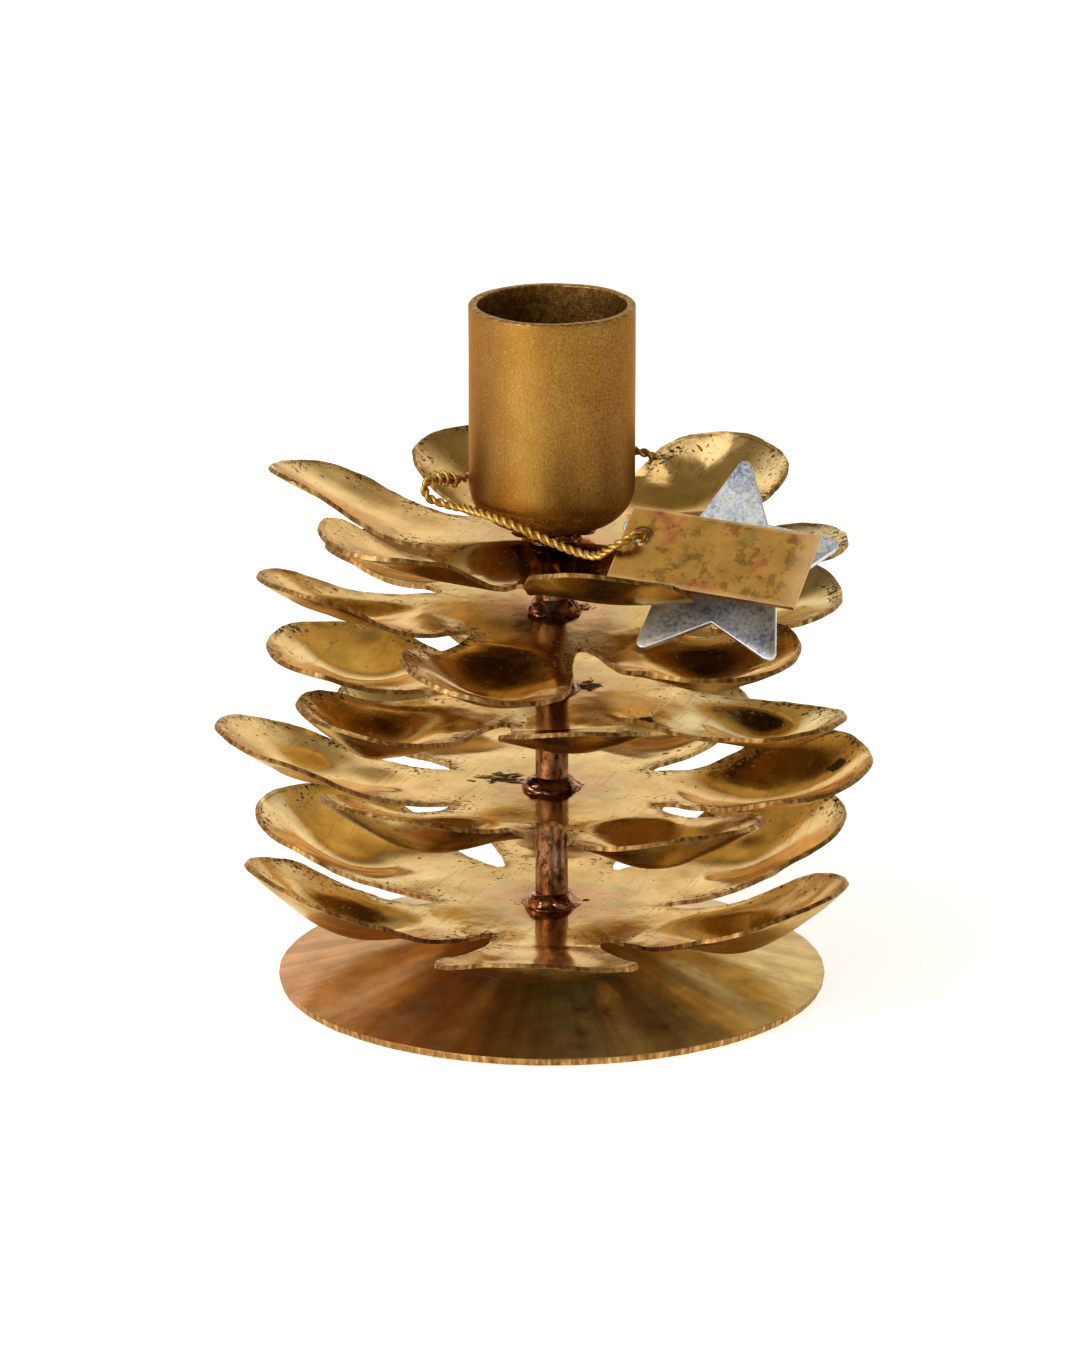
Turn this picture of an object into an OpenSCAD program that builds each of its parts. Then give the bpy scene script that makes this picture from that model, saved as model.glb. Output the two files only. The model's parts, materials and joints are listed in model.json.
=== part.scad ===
// Candle holder built up from sheet brass: a shallow cone for a foot, five flower shaped
// whorls brazed one above the other on a rod, and a round bottomed cup for a taper candle.
// A star and a small plate hang on a twisted wire that is slung round the cup.
// Origin on the rod's axis, on the surface that the foot stands on. Front is -Y.

/* [Foot] */
// Outer radius of the foot
foot_r = 41.6; // [38:0.2:46]
// Thickness of the foot's sheet
foot_sheet = 1.2; // [1:0.1:2]
// Height of the foot's crown above the ground
foot_rise = 9; // [7.5:0.25:12]
// Width of the flat land that the foot rests on
foot_land = 1.6; // [1:0.1:3]

/* [Rod] */
// Diameter of the rod
rod_d = 5; // [4:0.1:6]
// Length of rod that shows below the foot's crown
rod_tail = 1.2; // [0.5:0.1:2]

/* [Whorls] */
// Thickness of the whorls' sheet
sheet = 0.7; // [0.6:0.05:1.3]
// Radius at which the slots between petals end
hub_r = 18.6; // [17:0.1:19.5]
// Half the width of the widest petal
lobe_w = 15; // [13:0.1:15.4]
// Height that the petals' lifts are shares of
petal_rise = 10; // [8:0.25:10.5]
// Reach of the first, lowest whorl's petals from the rod
reach_1 = 51.5; // [48:0.25:54]
// Reach of the second whorl's petals
reach_2 = 52.5; // [49:0.25:55]
// Reach of the third whorl's petals
reach_3 = 48; // [45:0.25:50]
// Reach of the fourth whorl's petals
reach_4 = 46; // [43:0.25:48]
// Reach of the top whorl's petals
reach_5 = 43.5; // [42:0.25:45]
// Space between the foot's crown and the first whorl
step_1 = 2.2; // [1.5:0.1:4]
// Height from the first whorl to the second
step_2 = 18.5; // [17.5:0.25:24]
// Height from the second whorl to the third
step_3 = 15.6; // [14.5:0.25:20]
// Height from the third whorl to the fourth
step_4 = 12.5; // [12:0.25:16]
// Height from the fourth whorl to the top one
step_5 = 11; // [10.5:0.25:14]

/* [Candle cup] */
// Outer diameter of the cup
cup_d = 25; // [24.4:0.1:28]
// Diameter of the bore that takes the candle
cup_bore_d = 22.4; // [21:0.1:23]
// Height of the cup
cup_h = 34.1; // [26:0.1:42]
// Radius that the cup's bottom edge is rounded to
cup_round = 6.5; // [5:0.1:8]

/* [Brazing] */
// Radius of the bead round the rod on each whorl
bead_r = 4.6; // [4:0.1:6]
// Height of that bead
bead_h = 2.7; // [1:0.1:3]
// Radius of the lump under the cup
cup_bead_r = 7.6; // [5:0.1:8.5]
// Height of the lump, which is the space from the top whorl to the cup
cup_bead_h = 2.4; // [1.8:0.1:4]

/* [Plate tag] */
// Length of the plate
plate_l = 31; // [26:0.5:33]
// Width of the plate
plate_w = 13.5; // [12.5:0.1:14]
// Thickness of the plate
plate_t = 0.8; // [0.5:0.05:1]
// Diameter of the plate's hole
plate_hole_d = 2.6; // [2.4:0.1:3]
// Distance from the plate's end to the middle of its hole
plate_hole_end = 3; // [2.5:0.1:4]
// Distance from the plate's lower edge to the middle of its hole
plate_hole_up = 8; // [7.5:0.1:8.2]

/* [Star tag] */
// Radius of the star's points
star_r = 19; // [17:0.25:19.5]
// Radius of the star's inner corners
star_waist_r = 9.2; // [7.5:0.1:9.4]
// Radius that the points are rounded to
star_tip_r = 1.1; // [0.6:0.1:1.5]
// Thickness of the star
star_t = 1; // [0.6:0.05:1.2]
// Diameter of the star's hole
star_hole_d = 3; // [2.6:0.1:3.2]
// Distance from the star's middle to its hole
star_hole_out = 13.2; // [12.8:0.1:13.6]

/* [Tag wire] */
// Diameter over both strands of the twisted wire
wire_d = 1.36; // [1:0.02:1.4]

/* [Hidden] */
fine = 96;
coarse = 48;

// Radial clearance of the pieces that sit round the rod
rod_fit = 0.06;
// Clearance of a bead from the sheet that it is run on
seat_fit = 0.05;
// Length that a cut runs past the face it opens
overrun = 1;

// Where each height comes from the one below it
rod_r = rod_d / 2;
z_1 = foot_rise + step_1 + sheet;
z_2 = z_1 + step_2;
z_3 = z_2 + step_3;
z_4 = z_3 + step_4;
z_5 = z_4 + step_5;
cup_z = z_5 + cup_bead_h;
cup_r = cup_d / 2;
bore_r = cup_bore_d / 2;
cup_wall = cup_r - bore_r;

// The foot's section from its rim to its crown, as shares of its radius and of its rise
foot_shares = [[1, 0], [0.8, 0.24], [0.55, 0.55], [0.3, 0.84], [0.14, 1], [0, 1]];
// A bead's section, as shares of the way from the rod to its edge and of its height
bead_shares = [[0, 0], [1, 0], [0.86, 0.4], [0.5, 0.72], [0.2, 0.94], [0, 1]];
// The same for the thicker lump between two faces
lump_shares = [[0, 0], [0.9, 0], [1, 0.3], [0.96, 0.75], [0.85, 1], [0, 1]];

// Half the angle of a petal's sector at the slot's end, and the slot's own half angle
sector = 60;
slot_half = 3.5;
slot_nose_share = 0.94;
petals_n = 6;
across_n = 6;
along_n = 9;
// Share of a lobe's half width from its widest place to its tip, and the cap's angle
lobe_end_share = 0.85;
cap_angle = 70;
// Share of the lift at which a petal's roll is reached
roll_share = 0.67;
// The dish punched into each lobe: its middle lies this far in from the widest place, it runs
// this far past the cap's length, and its half width is this share of the lobe's
dish_in = 1.5;
dish_over = 5;
dish_width_share = 0.82;

// One row for each petal: angle, share of the reach, lift as a share of the rise, roll,
// share of the lobe's half width, then the tip's rise, the sides' rise and the dish's depth
// as shares of the rise.
petal_1_shares = [[1, 0.95, 0.2, -4, 0.97, 0.75, 0.4, 0.1], [60, 1, -0.2, 0, 1, 0.75, 0.4, 0.1],
                  [120, 1, 0.08, 3.5, 0.97, 0.75, 0.4, 0.12], [181, 0.97, 0.55, -1, 1, 0.75, 0.4, 0.14],
                  [240, 1, 0.42, 0, 1, 0.5, 0.15, 0.04], [299, 0.98, 0.4, 2, 1, 0.75, 0.4, 0.15]];
petal_2_shares = [[0, 0.95, -0.22, 0, 1, 0.75, 0.45, 0.16], [63, 0.93, -0.2, 0, 1, 0.75, 0.4, 0.1],
                  [120, 0.98, -0.2, 0, 1, 0.75, 0.4, 0.1], [180, 0.975, 0.27, 5, 0.93, 0.75, 0.4, 0.12],
                  [237, 0.95, 0.25, 0, 1, 0.68, 0.4, 0.08], [297, 0.96, -0.08, 0, 1, 0.75, 0.4, 0.08]];
petal_3_shares = [[0, 0.9, -0.5, 0, 1, 0.75, 0.4, 0.1], [60, 0.95, -0.3, 0, 1, 0.75, 0.4, 0.1],
                  [124, 0.94, -0.33, 3, 0.95, 0.75, 0.4, 0.1], [184, 0.96, -0.22, -4, 0.84, 0.75, 0.4, 0.2],
                  [238, 1, 0.48, 0, 0.74, 0.45, 0.2, 0.04], [300, 0.98, -0.68, -6, 0.82, 0.8, 0.3, 0.08]];
petal_4_shares = [[-7, 0.97, -0.08, 4, 1.05, 0.5, 0.3, 0.05], [60, 0.95, 0, 0, 1, 0.6, 0.4, 0.1],
                  [120, 0.94, -0.56, 0, 1, 0.6, 0.4, 0.1], [180, 0.99, -0.24, 0, 0.9, 0.88, 0.4, 0.12],
                  [238, 0.98, -0.48, -6, 0.97, 0.6, 0.3, 0.12], [302, 0.98, -0.27, 3, 1.1, 0.6, 0.4, 0.12]];
petal_5_shares = [[-10, 0.935, 0.35, 4, 1.1, 0.6, 0.4, 0.12], [62, 0.93, 0.25, 0, 1.05, 0.5, 0.4, 0.1],
                  [121, 1.01, 0.4, 5, 1, 0.5, 0.3, 0.1], [176, 0.97, 0.52, -5, 0.92, 0.15, 0.25, 0.06],
                  [240, 1, -0.34, -12, 1.03, 0.95, 0.15, 0.05], [301, 1.05, -0.28, 0, 1, 0.5, 0.2, 0.05]];

// Turn of the whorl, share of lobe_w, power of the tip's rise, share of the reach where
// that rise starts, and the tilts towards the back and towards the right.
whorl_1_shares = [26.5, 1, 2.6, 0.6, 2, 0];
whorl_2_shares = [0, 1, 2.6, 0.6, 0, 0];
whorl_3_shares = [37, 1, 2.6, 0.6, 2, 0];
whorl_4_shares = [15, 0.85, 2, 0.6, 3, -3.5];
whorl_5_shares = [45, 0.8, 1.8, 0.58, 0, 0];
// The bead on the foot's crown stops short of the first whorl, which tilts
foot_bead_h = step_1 - seat_fit - bead_r * tan(whorl_1_shares[4]);

// The plate leans back by plate_lean, is turned by plate_turn and droops to its right.
// Its lower left corner lies in the top whorl's front petal.
plate_lean = 42;
plate_turn = -22;
plate_droop = -3;
plate_corner_shares = [0.184, -0.593];
plate_corner_up_share = 0.11;
plate_hole = [reach_5 * plate_corner_shares[0], reach_5 * plate_corner_shares[1],
              z_5 + petal_rise * plate_corner_up_share]
           + plate_side(plate_hole_end, plate_hole_up);

// The star stands in the gap between two petals of the top whorl.
star_lean = 49;
star_turn = -18;
star_middle_shares = [0.585, -0.45];
star_middle_up_share = 0.12;
star_middle = [reach_5 * star_middle_shares[0], reach_5 * star_middle_shares[1],
               z_5 + petal_rise * star_middle_up_share];
star_arms = 5;
star_hole_angle = 162;
tip_n = 3;

// The wire's route from its bare end on the right, behind the cup, round on the left and
// across the front to the two holes. Heights are above the top whorl.
wire_sides = 8;
wire_route = [[15.8, 7.2, 10.4], [14.2, 6.6, 11.4], [12.6, 7, 11.7], [10.6, 9.4, 11.5],
              [7.8, 11.8, 11.1], [4.2, 13.4, 10.5], [0.4, 14, 9.8], [-3.4, 13.6, 9.1],
              [-7, 12.2, 8.5], [-10.2, 9.8, 8], [-12.6, 6.8, 7.7], [-14.6, 4.4, 7.9],
              [-16.8, 2.8, 8.6], [-18.5, 1.2, 8.7], [-19.1, 0, 7.6], [-18.4, -0.8, 6.5],
              [-16.8, -1.4, 6], [-14.8, -2.6, 5.8], [-12.8, -4.8, 6], [-10.6, -7.9, 6.2],
              [-7.6, -10.8, 5.9], [-4.2, -12.8, 5], [-1, -14.4, 4], [2, -16.2, 3.2],
              [4.8, -18.4, 2.9], [6.7, -20.5, 3.3], [8, -22.2, 4.5], [9.6, -23.6, 5.9],
              [11.4, -23.9, 7], [12.9, -22.8, 7.5], [13.35, -21.7, 6.35], [13.7, -20.8, 5.3],
              [13.7, -18.8, 4.3], [13.5, -16.6, 4.9], [14, -14.2, 5.2], [14.35, -13.15, 4.3],
              [14.6, -12.2, 3.5], [14.8, -11, 3.9], [14.7, -10.1, 5], [14.5, -9.5, 6.3]];

function smooth(x) = let (c = min(max(x, 0), 1)) c * c * (3 - 2 * c);
function mix(a, b, t) = a + (b - a) * t;
function unit(v) = v / norm(v);

// A point of the plate at a to the right of its lower left corner and b above it.
function plate_side(a, b) =
    let (x = a * cos(plate_droop) - b * sin(plate_droop),
         y = a * sin(plate_droop) + b * cos(plate_droop))
    [x * cos(plate_turn) - y * cos(plate_lean) * sin(plate_turn),
     x * sin(plate_turn) + y * cos(plate_lean) * cos(plate_turn),
     y * sin(plate_lean)];

// Top surface of petal k of whorl w: s runs across it from -1 to 1, t from the hub to the tip.
function petal_point(w, rows, reach, k, s, t) =
    let (row = rows[k],
         tip = reach * row[1],
         half = lobe_w * w[1] * row[4],
         wide_at = tip - half * lobe_end_share,
         root_x = hub_r * cos(sector / 2 - slot_half),
         root_y = hub_r * sin(sector / 2 - slot_half),
         cap_x = wide_at + (tip - wide_at) * cos(cap_angle),
         edge_x = mix(root_x, cap_x, t),
         edge_y = edge_x < wide_at
             ? mix(root_y, half, smooth((edge_x - root_x) / (wide_at - root_x)))
             : half * sqrt(max(0, 1 - pow((edge_x - wide_at) / (tip - wide_at), 2))),
         mid_x = mix(hub_r, tip, t),
         bow = (1 - sqrt(1 - pow(s * sin(cap_angle), 2))) / (1 - cos(cap_angle)),
         x = mid_x - (mid_x - edge_x) * bow,
         y = edge_y * s,
         out = max(0, (x - hub_r) / (tip - hub_r)),
         hollow = smooth((x - hub_r) / (wide_at - hub_r)),
         toe_x = tip * w[3],
         toe = pow(max(0, (x - toe_x) / (tip - toe_x)), w[2]),
         dish = max(0, 1 - pow((x - wide_at + dish_in) / (tip - wide_at + dish_over), 2)
                         - pow(y / half / dish_width_share, 2)),
         rise = petal_rise * (row[2] * out + row[5] * toe + row[6] * hollow * pow(y / half, 2)
                              - row[7] * dish * dish),
         z = rise + tan(row[3]) * y * smooth(out / roll_share),
         a = w[0] + sector * k
           + (row[0] - sector * k) * smooth((x - root_x) / (wide_at - root_x)),
         px = x * cos(a) - y * sin(a),
         py = x * sin(a) + y * cos(a))
    [px, py, z + tan(w[4]) * py + tan(w[5]) * px];

// The round nose at the inner end of the slot that follows petal k
function slot_point(w, k) =
    let (a = w[0] + sector * (k + 0.5), r = hub_r * slot_nose_share,
         px = r * cos(a), py = r * sin(a))
    [px, py, tan(w[4]) * py + tan(w[5]) * px];

// One whorl: six petals on a flat hub, closed round all its edges, with a bore for the rod.
module whorl(w, rows, reach, z0) {
    row_n = along_n + 1;
    petal_n = (across_n + 1) * row_n;
    slots = petals_n * petal_n;
    middle = slots + petals_n;
    side_n = middle + 1;
    top = concat(
        [for (k = [0 : petals_n - 1], i = [0 : across_n], j = [0 : along_n])
            petal_point(w, rows, reach, k, 2 * i / across_n - 1, j / along_n)],
        [for (k = [0 : petals_n - 1]) slot_point(w, k)],
        [[0, 0, 0]]);
    bottom = [for (p = top) p - [0, 0, sheet]];
    // Vertex j of line i across petal k
    function at(k, i, j) = (k % petals_n) * petal_n + i * row_n + j;
    // The edge of the sheet, anticlockwise from above
    edge = [for (k = [0 : petals_n - 1]) each concat(
        [for (j = [0 : along_n]) at(k, 0, j)],
        [for (i = [1 : across_n]) at(k, i, along_n)],
        [for (j = [along_n - 1 : -1 : 0]) at(k, across_n, j)],
        [slots + k])];
    hub = [for (k = [0 : petals_n - 1]) each concat(
        [for (i = [0 : across_n]) at(k, i, 0)], [slots + k])];
    function up(faces) = [for (f = faces) [f[0], f[2], f[1]]];
    function down(faces) = [for (f = faces) [f[0] + side_n, f[1] + side_n, f[2] + side_n]];
    sheet_faces = concat(
        [for (k = [0 : petals_n - 1], i = [0 : across_n - 1], j = [0 : along_n - 1]) each
            [[at(k, i, j), at(k, i, j + 1), at(k, i + 1, j + 1)],
             [at(k, i, j), at(k, i + 1, j + 1), at(k, i + 1, j)]]],
        [for (n = [0 : len(hub) - 1]) [middle, hub[n], hub[(n + 1) % len(hub)]]]);
    edge_faces = [for (n = [0 : len(edge) - 1])
        let (a = edge[n], b = edge[(n + 1) % len(edge)]) each
            [[a, a + side_n, b + side_n], [a, b + side_n, b]]];
    translate([0, 0, z0])
    difference() {
        polyhedron(concat(top, bottom), concat(up(sheet_faces), down(sheet_faces), edge_faces));
        translate([0, 0, -sheet - overrun])
            cylinder(r = rod_r + rod_fit, h = sheet + 2 * overrun, $fn = fine);
    }
}

// A bead of brazing metal round the rod, lying on a whorl that is tilted by w.
module bead(w, z0) {
    slope_y = w[4];
    slope_x = w[5];
    translate([0, 0, z0 + seat_fit])
    difference() {
        rotate([slope_y, -slope_x, 0])
        rotate_extrude($fn = fine)
            polygon([for (p = bead_shares) [mix(0, bead_r, p[0]), bead_h * p[1]]]);
        translate([0, 0, -overrun])
            cylinder(r = rod_r + rod_fit, h = bead_h + 2 * overrun, $fn = fine);
    }
}

// A lump that fills the space between two level faces round the rod.
module lump(r, h, z0) {
    translate([0, 0, z0])
    rotate_extrude($fn = fine)
        polygon([for (p = lump_shares) [mix(rod_r + rod_fit, r, p[0]), h * p[1]]]);
}

module foot() {
    crown = foot_rise - foot_sheet;
    hole = rod_r + rod_fit;
    function reach_at(p) = max(hole, foot_r * p[0]);
    color("peru")
    rotate_extrude($fn = fine)
    polygon(concat(
        [for (p = foot_shares) [reach_at(p), foot_sheet + crown * p[1]]],
        [for (n = [len(foot_shares) - 1 : -1 : 1]) let (p = foot_shares[n])
            [reach_at(p), crown * p[1]]],
        [[foot_r - foot_land, 0], [foot_r, 0]]));
}

module rod() color("sienna") {
    rod_z = foot_rise - foot_sheet - rod_tail;
    translate([0, 0, rod_z]) cylinder(r = rod_r, h = cup_z - rod_z, $fn = fine);
}

// Half of the section of a round bottomed cup of radius r, whose rounding starts at height c.
module cup_half(r, c, round_r, h) {
    translate([0, c]) square([r, h - c]);
    translate([0, c - round_r]) square([r - round_r, round_r]);
    intersection() {
        translate([r - round_r, c]) circle(round_r, $fn = fine);
        translate([0, c - round_r]) square([r, round_r]);
    }
}

module candle_cup() color("darkgoldenrod")
translate([0, 0, cup_z])
rotate_extrude($fn = fine) difference() {
    cup_half(cup_r, cup_round, cup_round, cup_h);
    cup_half(bore_r, cup_round, cup_round - cup_wall, cup_h + overrun);
}

// A tube of round section swept along a list of points.
module tube(route, d, sides) {
    last = len(route) - 1;
    heading = [for (n = [0 : last])
        unit(route[min(n + 1, last)] - route[max(n - 1, 0)])];
    first_side = unit(cross(heading[0], [0, 0, 1]));
    // Each ring's side direction is carried on from the ring before it
    side = [for (n = 0, v = first_side; n <= last;
                 n = n + 1,
                 v = n > last ? v : unit(v - heading[n] * (v * heading[n]))) v];
    points = [for (n = [0 : last], i = [0 : sides - 1])
        let (a = 360 * i / sides, other = cross(heading[n], side[n]))
        route[n] + d / 2 * (cos(a) * side[n] + sin(a) * other)];
    walls = [for (n = [0 : last - 1], i = [0 : sides - 1])
        let (j = (i + 1) % sides, a = n * sides, b = a + sides) each
            [[a + i, b + j, a + j], [a + i, b + i, b + j]]];
    start = [for (i = [1 : sides - 2]) [0, i, i + 1]];
    end = [for (i = [1 : sides - 2]) [last * sides, last * sides + i + 1, last * sides + i]];
    polyhedron(points, concat(walls, start, end));
}

module tag_wire() color("goldenrod")
translate([0, 0, z_5]) tube(wire_route, wire_d, wire_sides);

module plate_tag() color("olivedrab")
translate(plate_hole) rotate([plate_lean, 0, plate_turn]) rotate([0, 0, plate_droop])
difference() {
    translate([-plate_hole_end, -plate_hole_up, -plate_t / 2])
        cube([plate_l, plate_w, plate_t]);
    translate([0, 0, -plate_t / 2 - overrun])
        cylinder(d = plate_hole_d, h = plate_t + 2 * overrun, $fn = coarse);
}

// The star's outline: each point is an arc of tip_n + 1 points, each waist a single corner.
function star_outline() =
    let (step = 360 / star_arms,
         // Half the angle that a point's two sides close in on each other by
         half = atan2(star_waist_r * sin(step / 2), star_r - star_waist_r * cos(step / 2)),
         middle_r = star_r - star_tip_r / sin(half))
    [for (k = [0 : star_arms - 1]) let (a = 90 + step * k) each concat(
        [for (n = [0 : tip_n])
            let (b = a + (90 - half) * (2 * n / tip_n - 1))
            [middle_r * cos(a) + star_tip_r * cos(b), middle_r * sin(a) + star_tip_r * sin(b)]],
        [[star_waist_r * cos(a + step / 2), star_waist_r * sin(a + step / 2)]])];

module star_tag() color("silver")
translate(star_middle) rotate([star_lean, 0, star_turn])
difference() {
    translate([0, 0, -star_t / 2]) linear_extrude(star_t) polygon(star_outline());
    rotate([0, 0, star_hole_angle]) translate([star_hole_out, 0, -star_t / 2 - overrun])
        cylinder(d = star_hole_d, h = star_t + 2 * overrun, $fn = coarse);
}

module whorl_1() color("goldenrod") whorl(whorl_1_shares, petal_1_shares, reach_1, z_1);
module whorl_2() color("darkgoldenrod") whorl(whorl_2_shares, petal_2_shares, reach_2, z_2);
module whorl_3() color("goldenrod") whorl(whorl_3_shares, petal_3_shares, reach_3, z_3);
module whorl_4() color("darkgoldenrod") whorl(whorl_4_shares, petal_4_shares, reach_4, z_4);
module whorl_5() color("goldenrod") whorl(whorl_5_shares, petal_5_shares, reach_5, z_5);
module foot_bead() color("saddlebrown") lump(bead_r, foot_bead_h, foot_rise);
module bead_1() color("saddlebrown") bead(whorl_1_shares, z_1);
module bead_2() color("saddlebrown") bead(whorl_2_shares, z_2);
module bead_3() color("saddlebrown") bead(whorl_3_shares, z_3);
module bead_4() color("saddlebrown") bead(whorl_4_shares, z_4);
module bead_5() color("saddlebrown") lump(bead_r, cup_bead_h / 2, z_5);
module cup_bead() color("saddlebrown") lump(cup_bead_r, cup_bead_h / 2, z_5 + cup_bead_h / 2);

echo(plate_hole = plate_hole, star_middle = star_middle, cup_z = cup_z);

foot();
rod();
whorl_1();
whorl_2();
whorl_3();
whorl_4();
whorl_5();
foot_bead();
bead_1();
bead_2();
bead_3();
bead_4();
bead_5();
cup_bead();
candle_cup();
tag_wire();
plate_tag();
star_tag();
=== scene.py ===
import json
import math

import bmesh
import bpy
from mathutils import Matrix, Vector, kdtree, noise


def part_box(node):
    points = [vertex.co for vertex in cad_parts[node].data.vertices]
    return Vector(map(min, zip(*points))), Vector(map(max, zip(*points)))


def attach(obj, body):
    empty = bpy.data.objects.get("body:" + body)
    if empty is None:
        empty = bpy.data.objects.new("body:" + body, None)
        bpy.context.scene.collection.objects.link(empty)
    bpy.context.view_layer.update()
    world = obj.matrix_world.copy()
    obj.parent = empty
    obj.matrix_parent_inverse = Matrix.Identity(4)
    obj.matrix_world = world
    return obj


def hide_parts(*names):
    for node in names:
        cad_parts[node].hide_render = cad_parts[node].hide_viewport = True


# Every size below is in millimetres, and becomes metres where its mesh is made.
# +Z is up, -Y is the front and the rod stands on the Z axis, as in the frame.
mm = 0.001
# faces that meet at more than this many degrees have an edge between them
edgeAngle = 50
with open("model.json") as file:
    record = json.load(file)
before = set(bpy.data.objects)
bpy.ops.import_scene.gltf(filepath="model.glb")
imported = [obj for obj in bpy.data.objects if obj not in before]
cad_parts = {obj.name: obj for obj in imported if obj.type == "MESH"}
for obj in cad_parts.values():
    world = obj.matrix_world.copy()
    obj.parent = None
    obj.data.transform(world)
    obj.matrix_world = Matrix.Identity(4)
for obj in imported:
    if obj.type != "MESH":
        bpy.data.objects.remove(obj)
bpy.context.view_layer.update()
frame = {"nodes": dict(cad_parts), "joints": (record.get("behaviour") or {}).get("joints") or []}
print("frame loaded")


# Small tools

def mix(a, b, t):
    return a + (b - a) * t


def smooth(t):
    t = min(max(t, 0.0), 1.0)
    return t * t * (3 - 2 * t)


def turned(x, y, degrees):
    a = math.radians(degrees)
    return x * math.cos(a) - y * math.sin(a), x * math.sin(a) + y * math.cos(a)


def wobble(point, size, seed):
    # soft noise from -1 to 1 whose lumps are about size across
    return noise.noise(Vector(point) / size + Vector((seed * 7.3, seed * 3.1, seed * 5.7)))


def uneven(point, form, seed):
    # the same noise as a length, from its depth and its size
    depth, size = form
    return depth * wobble(point, size, seed)


def colour(code):
    # sRGB hex to the linear colour that a shader takes
    parts = [int(code[i:i + 2], 16) / 255 for i in (1, 3, 5)]
    linear = [c / 12.92 if c <= 0.04045 else ((c + 0.055) / 1.055) ** 2.4 for c in parts]
    return (*linear, 1.0)


def join(tree, made, links):
    # a node given as a link stands for its first output
    for key, source in links.items():
        tree.links.new(getattr(source, "outputs", [source])[0], made.inputs[key])


def addNode(tree, kind, settings=None):
    # a key is a socket's name or number, or one of the node's own properties, and a value is a link
    # where it is a node or a socket
    made = tree.nodes.new("ShaderNode" + kind)
    for key, value in (settings or {}).items():
        if isinstance(value, (bpy.types.Node, bpy.types.NodeSocket)):
            join(tree, made, {key: value})
        elif key == "stops":
            ramp = made.color_ramp
            while len(ramp.elements) < len(value):
                ramp.elements.new(1.0)
            for element, (position, shade) in zip(ramp.elements, value):
                element.position = position
                element.color = colour(shade) if isinstance(shade, str) else (shade, shade, shade, 1)
        elif isinstance(key, int) or key in made.inputs:
            made.inputs[key].default_value = value
        else:
            setattr(made, key, value)
    return made


def finishMesh(bm, name, materials, turnFaces=True):
    if turnFaces:
        bmesh.ops.recalc_face_normals(bm, faces=bm.faces)
    for v in bm.verts:
        v.co *= mm
    mesh = bpy.data.meshes.new(name)
    bm.to_mesh(mesh)
    bm.free()
    for face in mesh.polygons:
        face.use_smooth = True
    for material in materials:
        mesh.materials.append(material)
    piece = bpy.data.objects.new(name, mesh)
    bpy.context.scene.collection.objects.link(piece)
    return piece


def grow(bm, edges):
    # extrudes a row of edges on the spot, and gives its new points and new edges
    geom = bmesh.ops.extrude_edge_only(bm, edges=edges)["geom"]
    fresh = [g for g in geom if isinstance(g, bmesh.types.BMVert)]
    known = set(fresh)
    return fresh, [g for g in geom if isinstance(g, bmesh.types.BMEdge) and set(g.verts) <= known]


def thicken(piece, sheet, rubbed, segments=2, under=0, rim=0):
    # gives a modelled upper face its sheet's thickness below, and rubs the cut edges soft
    if sum(p.normal.z for p in piece.data.polygons) < 0:
        piece.data.flip_normals()
    thick = piece.modifiers.new("sheet", "SOLIDIFY")
    thick.thickness = sheet * mm
    thick.offset = -1
    thick.material_offset = under
    thick.material_offset_rim = rim
    soft = piece.modifiers.new("rubbedEdge", "BEVEL")
    soft.width = rubbed * mm
    soft.segments = segments
    soft.limit_method = "ANGLE"
    soft.angle_limit = math.radians(edgeAngle)
    soft.harden_normals = True
    return piece


def place(piece, body, slot, *nodeNames):
    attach(piece, body)
    if nodeNames:
        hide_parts(*nodeNames)
    return piece


# Camera: a long lens about nineteen degrees above the table
cameraSet = {"from": (-1.8, -1348, 462), "at": (-1.8, 0, 48), "lens": 249, "sensor": 36,
             "near": 50, "far": 50000}


def makeCamera():
    data = bpy.data.cameras.new("camera")
    data.lens = cameraSet["lens"]
    data.sensor_width = cameraSet["sensor"]
    data.clip_start = cameraSet["near"] * mm
    data.clip_end = cameraSet["far"] * mm
    camera = bpy.data.objects.new("camera", data)
    bpy.context.scene.collection.objects.link(camera)
    here = Vector(cameraSet["from"]) * mm
    there = Vector(cameraSet["at"]) * mm
    camera.location = here
    camera.rotation_euler = (there - here).to_track_quat("-Z", "Y").to_euler()
    bpy.context.scene.camera = camera


makeCamera()
print("camera made")


# Materials. Patterns are laid out on object coordinates, whose origin is on the rod's axis.

def startMaterial(name, tint="#FFFFFF", settings=None):
    # bare metal whose mirror takes the tint at grazing angles, unless the settings say otherwise
    material = bpy.data.materials.new(name)
    material.use_nodes = True
    tree = material.node_tree
    tree.nodes.clear()
    shader = addNode(tree, "BsdfPrincipled", {"Metallic": 1.0, "Specular Tint": colour(tint),
                                              **(settings or {})})
    addNode(tree, "OutputMaterial", {"Surface": shader})
    return material, tree, shader, addNode(tree, "TexCoord").outputs["Object"]


def patches(tree, spot, size, stops, detail=3.0, rough=0.55, stretch=(1, 1, 1), turn=0):
    # cloudy patches about size millimetres across, drawn out by stretch along axes turned by turn
    laid = addNode(tree, "Mapping", {"vector_type": "TEXTURE", "Scale": stretch,
                                     "Rotation": (0, 0, math.radians(turn)), "Vector": spot})
    cloud = addNode(tree, "TexNoise", {"Scale": 1 / (size * mm), "Detail": detail, "Roughness": rough,
                                       "Vector": laid})
    return addNode(tree, "ValToRGB", {"stops": stops, "Fac": cloud})


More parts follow.
